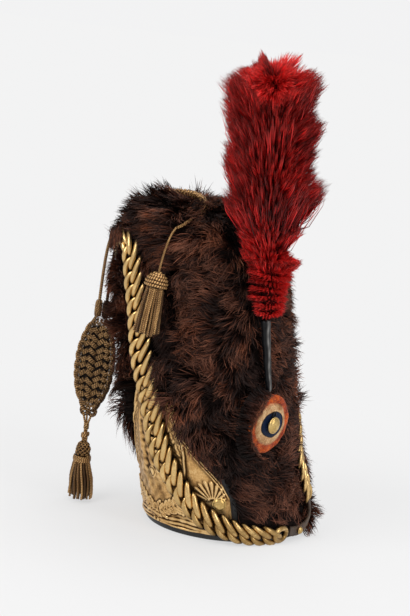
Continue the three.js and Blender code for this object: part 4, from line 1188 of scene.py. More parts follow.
def plume():
    n_high, n_low, n_top = 34500, 8200, 6000
    r = rng(70)
    K = 4
    t = np.array([0.0, 0.42, 0.78, 1.0])
    sets = []

    def tufts(count, zlo, zhi, seed, stand):
        q = rng(seed)
        z = q.uniform(zlo, zhi, count)
        w = plume_at(z)[2]
        z = z[np.argsort(q.uniform(0, 1, count) / np.maximum(w, 5))][: int(count * 0.8)]
        ph = q.uniform(0, TAU, len(z))
        x, y, w = plume_at(z)
        w = w * (1 + q.normal(0, 0.03, len(z))) + np.abs(q.normal(0, stand, len(z)))
        return z, ph, np.stack([x + w * np.cos(ph), y + w * np.sin(ph), z], 1), q.normal(0, 1, len(z))

    # Main part: strands that rise from the core and splay outwards, drawn into fine points.
    tz, tp, tt, tr = tufts(3300, 326, 541, 71, 2.2)
    tall = 0.97 + np.clip(np.abs(rng(77).normal(0, 0.10, len(tz))), 0, 0.2)
    lean_t = rng(79).normal(0, 0.26, len(tz))
    grp = rng(75)
    # Broad locks: each leans and stands a little differently from its neighbours.
    bz, bp, bt, br = tufts(300, 326, 546, 76, 0.5)
    bstand, bturn, brise = grp.normal(0, 0.04, len(bz)), grp.normal(0, 0.20, len(bz)), grp.normal(1, 0.20, len(bz))

    def tree(points):
        kd = KDTree(len(points))
        for i, p in enumerate(points.tolist()):
            kd.insert(p, i)
        kd.balance()
        return kd

    kd, kb = tree(tt), tree(bt)
    z = r.uniform(320, 536, int(n_high * 1.3))
    w = plume_at(z)[2]
    z = z[r.uniform(0, 1, len(z)) < 0.25 + 0.75 * w / 48][:n_high]
    n = len(z)
    ph = r.uniform(0, TAU, n)
    x, y, w = plume_at(z)
    edge = outline(z, ph)
    depth = 1 - 0.34 * r.uniform(0, 1, n) ** 1.7
    tip = np.stack([x + w * np.cos(ph), y + w * np.sin(ph), z], 1)
    near = np.array([kd.find(p)[1] for p in tip.tolist()])
    lock = np.array([kb.find(p)[1] for p in tt.tolist()])[near]
    stand = 1 + bstand[lock] + np.abs(r.normal(0, 0.035, n))
    tip = np.stack([x + edge * depth * stand * np.cos(ph), y + edge * depth * stand * np.sin(ph), z], 1)
    tnx, tny, _ = plume_at(tz[near])
    te = outline(tz[near], tp[near]) * stand * tall[near]
    target = np.stack([tnx + te * np.cos(tp[near]), tny + te * np.sin(tp[near]), tz[near] + 2 + 14 * (tall[near] - 0.97)], 1)
    pull = np.clip(r.normal(0.72, 0.20, n), 0.0, 0.98)[:, None]
    tip = tip * (1 - pull) + target * pull + r.normal(0, 0.6, (n, 3))
    rise = np.clip(r.normal(0.74, 0.16, n) * brise[lock], 0.3, 1.4) * edge * np.interp(tip[:, 2], [322, 350, 400], [0.5, 0.85, 1.0])
    rz = np.clip(tip[:, 2] - rise, 268, 512)
    ax, ay, aw = plume_at(rz)
    out = unit(tip[:, :2] - np.stack([plume_at(tip[:, 2])[0], plume_at(tip[:, 2])[1]], 1))
    turn_ = bturn[lock] + lean_t[near] + r.normal(0, 0.16, n)
    o2 = np.stack([out[:, 0] * np.cos(turn_) - out[:, 1] * np.sin(turn_), out[:, 0] * np.sin(turn_) + out[:, 1] * np.cos(turn_)], 1)
    core = np.interp(rz, [268, 330, 400, 512], [3, 5, 8, 6])
    root = np.stack([ax + o2[:, 0] * core, ay + o2[:, 1] * core, rz], 1)
    long_ = np.linalg.norm(tip - root, axis=1)
    bulge = unit(np.stack([out[:, 0], out[:, 1], np.full(n, -0.4)], 1)) * (r.normal(0.03, 0.06, n) * long_)[:, None]
    C = root[:, None] + (tip - root)[:, None] * t[None, :, None] + bulge[:, None] * (np.sin(np.pi * t ** 0.9))[None, :, None]
    nrm = unit(np.stack([out[:, 0], out[:, 1], np.full(n, 0.25)], 1))
    loose = r.uniform(0, 1, n) < 0.12
    tone = 0.52 + 0.11 * tr[near] + 0.08 * br[lock] + r.normal(0, 0.26, n) - 0.28 * loose + 0.20 * smooth(505, 545, tip[:, 2]) + 0.30 * smooth(395, 345, tip[:, 2])
    side = np.cos(ph - math.radians(205))
    # Painted shade: strands that end further inside the plume are darkened.
    tone = tone + 0.16 * np.clip(side, 0, 1) + 0.10 * ripple(tip, 26, 72) - 0.10 * (depth < 0.86)
    for c, wd, amount in (((130, -150, 460), 20, -0.20), ((146, -140, 395), 16, -0.26), ((118, -158, 405), 14, -0.20), ((80, -160, 420), 20, 0.16), ((75, -150, 460), 22, 0.08)):
        tone = tone + amount * np.exp(-(np.linalg.norm(tip - np.array(c), axis=1) / wd) ** 2)
    # The crown's whorl faces outwards a little: nothing else stands before it.
    for k in (1, 2, 3):
        d = C[:, k] - heart
        ahead = -(d @ LOOK)
        off = np.linalg.norm(d + ahead[:, None] * LOOK, axis=1)
        hide = (off < 19 * r.uniform(0.75, 1.1, n)) & (ahead > -9)
        C, nrm, tone, n = C[~hide], nrm[~hide], tone[~hide], int((~hide).sum())
    sets.append((C, nrm, tone, r.uniform(0.55, 0.98, n)))

    # Foot: short strands in level rings, one above the other, ragged at the edge.
    n = n_low
    rings = 8
    ring = r.integers(0, rings, n)
    zr = 271.5 + ring * 8.4
    ph = r.uniform(0, TAU, n)
    drop = r.normal(0, 1.15, n)
    z = zr + drop + 1.6 * np.sin(ph * 2 + ring)
    x, y, _ = plume_at(np.clip(z, 266.5, 400))
    w = outline(np.clip(z, 266.5, 400), ph)
    lump = ripple(np.stack([14 * np.cos(ph), 14 * np.sin(ph), ring * 9.0], 1), 4.5, 73)
    w = w * (1.03 + 0.13 * lump) * (1 - 0.16 * r.uniform(0, 1, n) ** 2) + np.clip(r.normal(-2, 2.6, n), 0, 6)
    clump = np.round(ph / TAU * 34 + 0.37 * ring) / 34 * TAU - 0.37 * ring / 34 * TAU
    ph2 = ph * 0.6 + clump * 0.4
    dirt = np.stack([np.cos(ph2), np.sin(ph2)], 1)
    tip = np.stack([x + w * dirt[:, 0], y + w * dirt[:, 1], z + r.normal(1.0, 1.3, n)], 1)
    tip = tip - SIDEWAYS * (7.0 * np.clip(0.35 - dirt @ SIDEWAYS[:2], 0, 1) * np.clip(-(dirt @ LOOK[:2]) + 0.3, 0, 1))[:, None]
    ax, ay, aw = plume_at(np.clip(z - 2, 266.5, 400))
    root = np.stack([ax + dirt[:, 0] * 4.5, ay + dirt[:, 1] * 4.5, np.clip(z - 3.0, 267, 400)], 1)
    C = root[:, None] + (tip - root)[:, None] * t[None, :, None] + np.array([0, 0, 1.0]) * (2.6 * np.sin(np.pi * t))[None, :, None]
    nrm = unit(np.stack([dirt[:, 0] * 0.5, dirt[:, 1] * 0.5, np.full(n, 0.75)], 1))
    # Painted shade: strands at the lower edge of each ring are darkened, more so on the side turned to the left of the
    # view, and that side is darker overall.
    dark = np.clip(1.25 - np.abs(drop + 1.7) / 1.1, 0, 1)
    seen = -(dirt @ SIDEWAYS[:2])
    tone = 0.93 + r.normal(0, 0.13, n) - 1.15 * dark * np.clip(0.5 + 0.9 * seen, 0, 1) - 0.15 * np.clip(seen, 0, 1) + 0.1 * lump
    sets.append((C, nrm, tone, r.uniform(0.6, 1.0, n)))

    # Crown: strands that fan out all round from one place near the end of the core.
    n = n_top
    az, pol = r.uniform(0, TAU, n), np.arccos(np.clip(r.uniform(-0.30, 0.92, n), -1, 1))
    axis_ = unit(-LOOK * 0.62 + np.array([0, 0, 0.78]))
    e1 = unit(np.cross(axis_, np.array([0, 0, 1.0])))
    e2 = np.cross(axis_, e1)
    d = axis_ * np.cos(pol)[:, None] + (e1 * np.cos(az)[:, None] + e2 * np.sin(az)[:, None]) * np.sin(pol)[:, None]
    # Tufts of the crown: uneven in size, each drawn to a direction and a length of its own.
    qc = rng(78)
    seeds = unit(axis_ * 0.35 + unit(qc.normal(0, 1, (150, 3))))
    seeds = seeds[(seeds @ axis_) > -0.42]
    own = np.argmax(d @ seeds.T, axis=1)
    draw = (np.clip(r.normal(0.60, 0.22, n), 0, 0.95) * np.interp(pol, [0.5, 1.25], [0.25, 1.0]))[:, None]
    d = unit(d * (1 - draw) + seeds[own] * draw + r.normal(0, 0.05, (n, 3)))
    above = np.cross(SIDEWAYS, LOOK)
    view = np.degrees(np.arctan2(d @ above, d @ SIDEWAYS))
    lobes = 0.40 * np.exp(-((view - 122) / 17) ** 2) + 0.36 * np.exp(-((view - 55) / 20) ** 2) - 0.10 * np.exp(-((view - 86) / 10) ** 2)
    reach = np.clip(r.normal(26, 3.5, n) * (1 + qc.normal(0, 0.15, len(seeds)))[own], 13, 40) * np.interp(pol, [0, 0.7, 1.5], [0.55, 0.85, 1.0]) * (1 + lobes)
    rootc = heart + d * 2.5 + r.normal(0, 1.2, (n, 3))
    tip = rootc + d * reach[:, None]
    # Kept inside the plume's own outline, with a ragged top.
    px_, py_, _ = plume_at(np.clip(tip[:, 2], 480, 544))
    off = tip[:, :2] - np.stack([px_, py_], 1)
    far = np.linalg.norm(off, axis=1)
    lim = outline(np.clip(tip[:, 2], 480, 543), np.arctan2(off[:, 1], off[:, 0])) + 3
    tip[:, :2] = np.stack([px_, py_], 1) + off * np.minimum(1, lim / np.maximum(far, 1e-3))[:, None]
    tip[:, 2] -= np.maximum(tip[:, 2] - 549, 0) * 0.7
    C = rootc[:, None] + (tip - rootc)[:, None] * t[None, :, None] + axis_ * (2.2 * np.sin(np.pi * t))[None, :, None]
    nrm = unit(d * 0.3 - LOOK)
    # Painted shade: strands that point near the crown's axis, which is turned towards the view, are darkened so its
    # middle reads as a hollow.
    tone = 0.90 + r.normal(0, 0.18, n) - 0.66 * smooth(0.66, 0.30, np.arccos(np.clip(d @ unit(axis_ - 0.18 * SIDEWAYS), -1, 1))) + qc.normal(0, 0.10, len(seeds))[own]
    sets.append((C, nrm, tone, r.uniform(0.5, 0.9, n)))

    C = np.concatenate([a for a, *_ in sets])
    C[..., 0] = np.where(C[..., 0] > 166, 166 + (C[..., 0] - 166) * 0.4, C[..., 0])
    nrm = np.concatenate([b for _, b, _, _ in sets])
    tone = np.clip(np.concatenate([c for _, _, c, _ in sets]), 0.02, 0.985)
    width = np.concatenate([d_ for *_, d_ in sets])
    # No strand strays far out of the plume's outline.
    ax, ay, _ = plume_at(np.clip(C[:, -1, 2], 267, 544))
    off = C[:, -1, :2] - np.stack([ax, ay], 1)
    far = np.linalg.norm(off, axis=1) - outline(np.clip(C[:, -1, 2], 267, 540), np.arctan2(off[:, 1], off[:, 0]))
    near_ = far < 10.5
    C, nrm, tone, width = C[near_], nrm[near_], tone[near_], width[near_]
    # No strand reaches into the fur's side of the cap.
    y, a, b = table(np.stack([OUTLINE[:, 0], OUTLINE[:, 1], OUTLINE[:, 2], OUTLINE[:, 3]], 1), np.clip(C[:, -1, 2], 6, 382))
    inside = (((C[:, -1, 0]) / (a - 4)) ** 2 + ((C[:, -1, 1] - y) / (b - 4)) ** 2 < 1) & (C[:, -1, 2] < 380)
    C, nrm, tone, width = C[~inside], nrm[~inside], tone[~inside], width[~inside]
    order = np.argsort(C[:, -1, 2])
    for name, idx in zip(("plume_lower", "plume_upper"), np.array_split(order, 2)):
        ribbons(name, C[idx], nrm[idx], width[idx], tone[idx], PLUME_MAT, "plume_red", (0.9, 1.0, 0.80, 0), 74, 0.6)
    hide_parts("plume")
    # The plume's core, which the strands stand on, closed.
    rows = [(268, 3.5), (285, 9), (310, 12), (340, 15), (380, 20), (430, 26), (480, 27), (505, 22), (514, 10)]
    core = np.array([(plume_at(h)[0], plume_at(h)[1], h, w) for h, w in rows], float)
    v, f, _ = tube(core[:, :3], core[:, 3], 28, hint=(1, 0, 0))
    m = skin_material()
    m.name = "plume_core"
    for nd in m.node_tree.nodes:
        if nd.type == "VALTORGB":
            nd.color_ramp.elements[0].color = (0.006, 0.0008, 0.0008, 1)
            nd.color_ramp.elements[1].color = (0.05, 0.003, 0.003, 1)
    add_mesh("plume_core", v, f, m, "plume_red")


plume()

# ---------------------------------------------------------------- brass plate
WING = np.array([(30.5, 139), (34.5, 131), (40.3, 120), (43.6, 108), (44.8, 97), (44.5, 80), (42.8, 61.5)], float)
FILLET = np.array([(r_[1], r_[0]) for r_ in PLATE if r_[0] >= 53], float)


def off_line(a, z, pts):
    """How far points are from a line, and which side: positive to the right of its run."""
    best = np.full(np.shape(a), 1e9)
    sgn = np.ones(np.shape(a))
    for p, q in zip(pts[:-1], pts[1:]):
        d = q - p
        L = d @ d
        t = np.clip(((a - p[0]) * d[0] + (z - p[1]) * d[1]) / L, 0, 1)
        dx, dz = a - (p[0] + t * d[0]), z - (p[1] + t * d[1])
        dist = np.hypot(dx, dz)
        near = dist < best
        best = np.where(near, dist, best)
        sgn = np.where(near, np.sign(d[0] * dz - d[1] * dx), sgn)
    return best, sgn


def bead(dist, width):
    return np.exp(-(dist / width) ** 2)


def plate_relief(arc, z):
    a = np.abs(arc)
    H = np.zeros(np.shape(a))
    half = np.interp(z, PLATE[:, 0], PLATE[:, 1])
    # Border: two fillets with a groove between them.
    d, _ = off_line(a, z, FILLET)
    high = smooth(50, 58, z)
    H += high * (1.25 * bead(d - 1.6, 1.0) + 0.85 * bead(d - 4.6, 0.8) - 0.5 * bead(d - 3.1, 0.7) - 0.4 * bead(d - 6.4, 0.9))
    # Wing: a bright raised edge, with long feathers inside it.
    d, side = off_line(a, z, WING)
    reach = smooth(58, 66, z) * smooth(142, 134, z)
    H += reach * 1.9 * bead(d, 1.25)
    inside = reach * smooth(0.5, 3.0, d * (side < 0)) * smooth(25, 29, a)
    lean = a * 0.92 + (z - 60) * 0.30 + 2.5 * np.sin(z / 19)
    vane = np.abs(np.sin(lean * math.pi / 5.2)) ** 0.7
    barb = np.sin((z * 0.95 + a * 0.7) * math.pi / 1.9)
    rows = (z * 1.0 + 9 * np.sin(a / 9)) / 17
    tipcut = smooth(0.0, 0.16, np.abs(rows - np.round(rows)))
    H += inside * (0.95 * vane * tipcut + 0.14 * barb - 0.35)
    # The smooth field outside the wing.
    swell = reach * smooth(1.5, 7, d * (side > 0)) * smooth(5.5, 12, off_line(a, z, FILLET)[0])
    H += 0.95 * swell * smooth(58, 74, z)
    # Palmette, its rays opening upwards.
    P = np.array([73.0, 46.5])
    ang = np.degrees(np.arctan2(z - P[1], a - P[0]))
    rad = np.hypot(a - P[0], z - P[1])
    far = np.interp(ang, [10, 60, 100, 150, 175], [13, 22, 26, 24, 20])
    window = smooth(8, 20, ang) * smooth(176, 164, ang)
    ray = np.abs(np.cos((ang - 90) / 17.0 * math.pi)) ** 1.3
    tipr = far - 3.0 * (1 - ray)
    H += window * smooth(3, 7, rad) * smooth(tipr + 1.5, tipr - 1.5, rad) * (1.5 * ray - 0.25)
    H += 1.1 * window * bead(rad - 5.2, 1.1)
    # Scroll at the top, with a smooth leaf under it.
    S = np.array([24.0, 161.5])
    rad = np.hypot(a - S[0], z - S[1])
    ang = np.arctan2(z - S[1], a - S[0])
    spiral = np.abs(np.sin((rad / 4.3 - ang / TAU) * math.pi)) ** 1.5
    H += smooth(9, 6.5, rad) * (1.3 * spiral)
    d, _ = off_line(a, z, np.array([(26, 156), (31.5, 148), (35, 140), (37, 134)], float))
    H += 1.0 * bead(d, 2.3)
    # Foliage across the foot: two branches of leaves and berries.
    for side_ in (1, -1):
        stem = np.array([(-4, 20), (12, 24), (28, 33), (42, 37), (56, 34), (66, 27)], float)
        s_ = arc * side_
        d, _ = off_line(s_, z, stem)
        H += 0.8 * bead(d, 1.0)
        q = rng(80)
        dense = curve(stem, 15)
        for i, c in enumerate(dense):
            g = dense[min(i + 1, 14)] - dense[max(i - 1, 0)]
            for up_ in (1, -1):
                turn = math.atan2(g[1], g[0]) + up_ * math.radians(46 + q.uniform(-12, 12))
                L, W = 9.2 + q.uniform(-1.2, 1.6), 3.1 + q.uniform(-0.4, 0.5)
                cx, cz = c[0] + math.cos(turn) * L * 0.62, c[1] + math.sin(turn) * L * 0.62
                u = (s_ - cx) * math.cos(turn) + (z - cz) * math.sin(turn)
                w = -(s_ - cx) * math.sin(turn) + (z - cz) * math.cos(turn)
                body = np.clip(1 - (u / (L * 0.62)) ** 2, 0, 1)
                leaf = np.clip(1 - np.abs(w) / (W * np.sqrt(body) + 1e-3), 0, 1) * (body > 0)
                H = np.maximum(H, (1.75 * leaf ** 0.5 - 0.75 * bead(w, 0.55) + 0.18 * np.sin(u * 3.0 + np.abs(w) * 2.2)) * (leaf > 0))
            if i % 2 == 0:
                bx, bz = c[0] + q.uniform(-3, 3), c[1] + 10.5 * (1 if i % 4 else -1)
                rb = np.hypot(s_ - bx, z - bz)
                H = np.maximum(H, 1.6 * np.sqrt(np.clip(1 - (rb / 2.0) ** 2, 0, 1)))
    rb = np.hypot(arc, z - 66)
    H = np.maximum(H, 1.8 * np.sqrt(np.clip(1 - (rb / 4.4) ** 2, 0, 1)))
    H += 0.6 * bead(rb - 6.0, 0.8)
    # Pleats down the middle, and scattered small leaves between them and the foliage.
    mid = smooth(52, 66, z) * smooth(150, 128, z) * smooth(26, 18, a)
    H += mid * (0.9 * np.sin(arc / 4.1 + 0.7 * np.sin(z / 17)) + 0.5 * np.sin(arc / 1.9 + z / 9))
    P3 = np.stack([arc, z, 0 * z], -1)
    H += (0.25 * ripple(P3, 9, 81) + 0.42 * ripple(P3, 3.4, 84)) * mid
    H += 0.38 * ripple(P3, 5.5, 82) * smooth(12, 16, z) * smooth(62, 50, z) * smooth(66, 56, a)
    # Foot: wavy mouldings along the lower edge.
    foot = smooth(24, 15, z)
    H += foot * (0.42 * np.sin((z + 0.9 * np.sin(arc / 7.5)) * math.pi / 2.55) + 0.32 * ripple(P3, 5, 83))
    H += 1.0 * bead(z - 8.2, 1.0)
    return H


def plate():
    nc, nr = 210, 168
    t = np.linspace(-1, 1, nc)
    zs = np.linspace(PLATE[0, 0], PLATE[-1, 0], nr)
    front, arcs = [], []
    for z in zs:
        half = float(np.interp(z, PLATE[:, 0], PLATE[:, 1]))
        arc = t * half
        th = at_arc(arc, z)
        front.append(np.stack([th, np.full(nc, z)], 1))
        arcs.append(arc)
    F, arc = np.concatenate(front), np.concatenate(arcs)
    z = F[:, 1]
    H = plate_relief(arc, z)
    G = H.reshape(nr, nc)
    blur = G.copy()
    for _ in range(5):
        pad = np.pad(blur, 1, mode="edge")
        blur = (pad[:-2, 1:-1] + pad[2:, 1:-1] + pad[1:-1, :-2] + pad[1:-1, 2:] + pad[1:-1, 1:-1]) / 5
    hollow_and_light = np.clip(0.5 + (G - blur) * 1.3 + (G - 0.5) * 0.12, 0, 1).ravel()
    edge = np.minimum(1, (1 - np.abs(np.tile(t, nr))) * np.interp(z, PLATE[:, 0], PLATE[:, 1]) / 1.0)
    # Painted shadow: the plate is darkened under the chain and close beside it.
    kd = chain_kd(6)
    at_ = on_body(F[:, 0], z, 4.0)
    i = np.array([kd.find(p_)[1] for p_ in at_.tolist()])
    d = at_ - CH["p"][i]
    push = -(1.0 + 4.0 * smooth(16, 34, z)) * smooth(150, 100, z)
    lat = np.abs((d * CH["side"][i]).sum(1) - push)
    under = smooth(CH["half"][i] + 2.6, CH["half"][i] - 2.2, lat) * (np.abs((d * CH["along"][i]).sum(1)) < 12)
    hollow_and_light = hollow_and_light * (1 - 0.85 * under)
    v = on_body(F[:, 0], z, 2.55 + np.clip(H, -0.6, 2.3) * smooth(0, 1, edge) - 0.5 * (1 - edge))
    # The back, plain and coarser, joined round the edge.
    nb = 14
    back = np.linspace(0, nc - 1, nb).round().astype(int)
    vb = []
    for i, zz in enumerate(zs):
        th = F[i * nc:(i + 1) * nc, 0][back]
        vb.append(on_body(th, np.full(nb, zz), 1.15))
    vb = np.concatenate(vb)
    N = len(v)
    i, j = np.arange(nr - 1)[:, None], np.arange(nc - 1)[None]
    q = [np.stack([i * nc + j, i * nc + j + 1, (i + 1) * nc + j + 1, (i + 1) * nc + j], -1).reshape(-1, 4)]
    j = np.arange(nb - 1)[None]
    q.append(np.stack([N + i * nb + j, N + (i + 1) * nb + j, N + (i + 1) * nb + j + 1, N + i * nb + j + 1], -1).reshape(-1, 4))
    i = i.ravel()
    q.append(np.stack([i * nc, (i + 1) * nc, N + (i + 1) * nb, N + i * nb], 1))
    q.append(np.stack([i * nc + nc - 1, N + i * nb + nb - 1, N + (i + 1) * nb + nb - 1, (i + 1) * nc + nc - 1], 1))
    tri = []
    for row, flip in ((0, False), (nr - 1, True)):
        for k in range(nb - 1):
            lo, hi = back[k], back[k + 1]
            fan = [(row * nc + c + 1, row * nc + c, N + row * nb + k) for c in range(lo, hi)]
            fan.append((row * nc + hi, N + row * nb + k, N + row * nb + k + 1))
            tri += [f[::-1] if flip else f for f in fan]
    allz = np.concatenate([z, np.repeat(zs, nb)])
    alla = np.concatenate([arc, arc.reshape(nr, nc)[:, back].ravel()])
    uv = np.stack([alla / 200 + 0.5, allz / 200 + 0.02], 1)
    ob = add_mesh("brass_plate", np.vstack([v, vb]), [np.concatenate(q), np.array(tri)], PLATE_BRASS, "embossed_brass", None,
                  levels={"relief_and_light": np.concatenate([hollow_and_light, np.full(len(vb), 0.35)])})
    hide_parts("front_plate")


plate()


def dome(at_, r_, high, name, node, slot_, material, rim=True):
    th, zz = np.array(math.radians(at_[0])), np.array(float(at_[1]))
    p, o = on_body(th, zz, at_[2]), body_out(th, zz)
    rows = [(0, 0), (r_ * 0.98, 0.0), (r_, high * 0.12), (r_ * 0.97, high * 0.26), (r_ * 0.86, high * 0.25), (r_ * 0.82, high * 0.33)]
    rows += [(r_ * 0.80 * math.cos(a), high * (0.33 + 0.67 * math.sin(a))) for a in np.linspace(0.08, 1.35, 9)] + [(0, high)]
    v, f = lathe(rows, 40)
    ob = add_mesh(name, placed(v, frame_at(p, o)), f, material, slot_)
    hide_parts(node)


dome(BOSS_AT, 8.2, 3.4, "side_boss_dome", "side_boss", "chain_brass", GILT)
dome((STUD_AT[0], STUD_AT[1], STUD_AT[2] - 0.1), 4.6, 3.3, "strap_stud_dome", "strap_stud", "chain_brass", GILT)


def strap():
    S = chain_path(np.array([(a, b, c, 6.0) for a, b, c in STRAP.tolist()]))
    n = 46
    s = np.linspace(0, S["total"], n)
    wide = 6.0 * (1 - 0.62 * smooth(S["total"] * 0.42, S["total"] * 0.72, s)) * (1 + 0.03 * np.sin(s * 0.9))
    sec = [(1, 0.1), (0.96, 0.72), (0.8, 1), (0.35, 1.06), (0, 1.1), (-0.35, 1.06), (-0.8, 1), (-0.96, 0.72), (-1, 0.1), (-0.96, -0.8), (-0.7, -1), (0.7, -1), (0.96, -0.8)]
    m = len(sec)
    v = np.concatenate([on_path(S, np.full(m, a), np.array([p * w for p, _ in sec]), np.array([q * 1.45 for _, q in sec])) for a, w in zip(s, wide)])
    i, j = np.arange(n - 1)[:, None], np.arange(m)[None]
    q = np.stack([i * m + j, i * m + (j + 1) % m, (i + 1) * m + (j + 1) % m, (i + 1) * m + j], -1).reshape(-1, 4)
    c0, c1 = len(v), len(v) + 1
    v = np.vstack([v, v[:m].mean(0), v[-m:].mean(0)])
    j = np.arange(m)
    t = np.concatenate([np.stack([np.full(m, c0), (j + 1) % m, j], 1), np.stack([np.full(m, c1), (n - 1) * m + j, (n - 1) * m + (j + 1) % m], 1)])
    ob = add_mesh("chain_strap_leather", v, [q, t], STRAP_LEATHER, "strap_leather")
    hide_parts("chain_strap")
    bag = Bag()
    for side in (1, -1):
        for k in range(10):
            a = 3 + k * 3.4
            w = float(np.interp(a, s, wide))
            pts = on_path(S, np.linspace(a, a + 2.3, 5), np.full(5, side * (w - 1.2)), 1.35 + 0.42 * np.sin(np.linspace(0, math.pi, 5)))
            bag.add(*tube(pts, 0.32, 5))
    add_mesh("chain_strap_stitches", *bag.done()[:2], LINING, "strap_leather")


strap()

# ---------------------------------------------------------------- stem and cockade


def lacquer():
    m = Mat("black_lacquer")
    p = m.coords()
    wear = m.noise(p, 160, 5, 0.6)
    black = m.ramp(wear, [(0.35, (0.0022, 0.0023, 0.003)), (0.65, (0.006, 0.0062, 0.007)), (0.8, (0.020, 0.018, 0.017))])
    # Where the rod carries its highlight level, the black is mixed to grey: a painted highlight along one side.
    m.set(Base_Color=m.mix(m.level("rub"), black, (0.205, 0.195, 0.185)),
          Roughness=m.ramp(wear, [(0.3, 0.24), (0.75, 0.38)]), Normal=m.bump(m.noise(p, 300, 3), 0.05, 0.0002))
    m.b.inputs["Specular IOR Level"].default_value = 0.16
    return m.m


def stem():
    c = curve(STEM, 30)
    r_ = c[:, 3] * (1 + 0.03 * np.sin(np.arange(30) * 0.7))
    v, f, _ = tube(c[:, :3], r_, 28, hint=(1, 0, 0))
    # A painted highlight: a grey streak along the side towards the right of the view, standing in for the light's
    # reflection off the lacquer.
    d = v.reshape(-1, 3)[:30 * 28].reshape(30, 28, 3) - c[:, None, :3]
    side = (d @ SIDEWAYS) / r_[:, None]
    facing_ = -(d @ LOOK) / r_[:, None]
    rub = np.exp(-((side - 0.50 - 0.10 * np.sin(np.arange(30) * 0.5)[:, None]) / 0.20) ** 2) * (facing_ > 0) * (0.75 + 0.25 * np.sin(np.arange(30) * 1.3)[:, None])
    rub = np.concatenate([rub.ravel(), np.zeros(len(v) - 30 * 28)])
    ob = add_mesh("plume_stem_rod", v, f, lacquer(), "stem_lacquer", levels={"rub": rub})
    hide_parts("plume_stem")


stem()


def cockade_paint():
    m = Mat("cockade_paint")
    p = m.coords()
    ring = m.math("ADD", m.level("ring"), m.math("MULTIPLY", m.math("SUBTRACT", m.noise(p, 130, 3), 0.5), 0.05))
    crack = m.n("TexVoronoi", {"Vector": p, "Scale": 330.0}, feature="DISTANCE_TO_EDGE")
    cracks = m.ramp(crack, [(0.0, 1.0), (0.05, 0.0)])
    speck = m.noise(p, 700, 3, 0.7)
    broad = m.noise(p, 90, 4, 0.6)
    red = m.ramp(broad, [(0.32, (0.07, 0.008, 0.004)), (0.47, (0.26, 0.024, 0.006)), (0.66, (0.55, 0.085, 0.010))])
    red = m.mix(m.ramp(speck, [(0.56, 0.0), (0.64, 0.62)]), red, (0.86, 0.30, 0.045))
    red = m.mix(m.ramp(speck, [(0.36, 0.85), (0.43, 0.0)]), red, (0.050, 0.010, 0.006))
    cream = m.ramp(broad, [(0.3, (0.30, 0.155, 0.055)), (0.6, (0.68, 0.46, 0.24))])
    cream = m.mix(m.ramp(speck, [(0.50, 0.0), (0.60, 0.8)]), cream, (0.36, 0.12, 0.045))
    navy = m.ramp(speck, [(0.3, (0.001, 0.003, 0.009)), (0.62, (0.003, 0.011, 0.040)), (0.74, (0.012, 0.035, 0.09))])
    col = m.mix(m.ramp(ring, [(0.435, 0.0), (0.445, 1.0)]), navy, (0.004, 0.003, 0.004))
    col = m.mix(m.ramp(ring, [(0.455, 0.0), (0.470, 1.0)]), col, cream)
    col = m.mix(m.ramp(ring, [(0.60, 0.0), (0.68, 1.0)]), col, red)
    col = m.mix(m.math("MULTIPLY", cracks, m.ramp(ring, [(0.5, 0.0), (0.56, 0.7)])), col, (0.10, 0.03, 0.015))
    m.set(Base_Color=col, Roughness=m.ramp(speck, [(0.3, 0.28), (0.7, 0.5)]),
          Normal=m.bump(m.math("SUBTRACT", speck, cracks), 0.35, 0.0006))
    m.b.inputs["Specular IOR Level"].default_value = 0.10
    return m.m


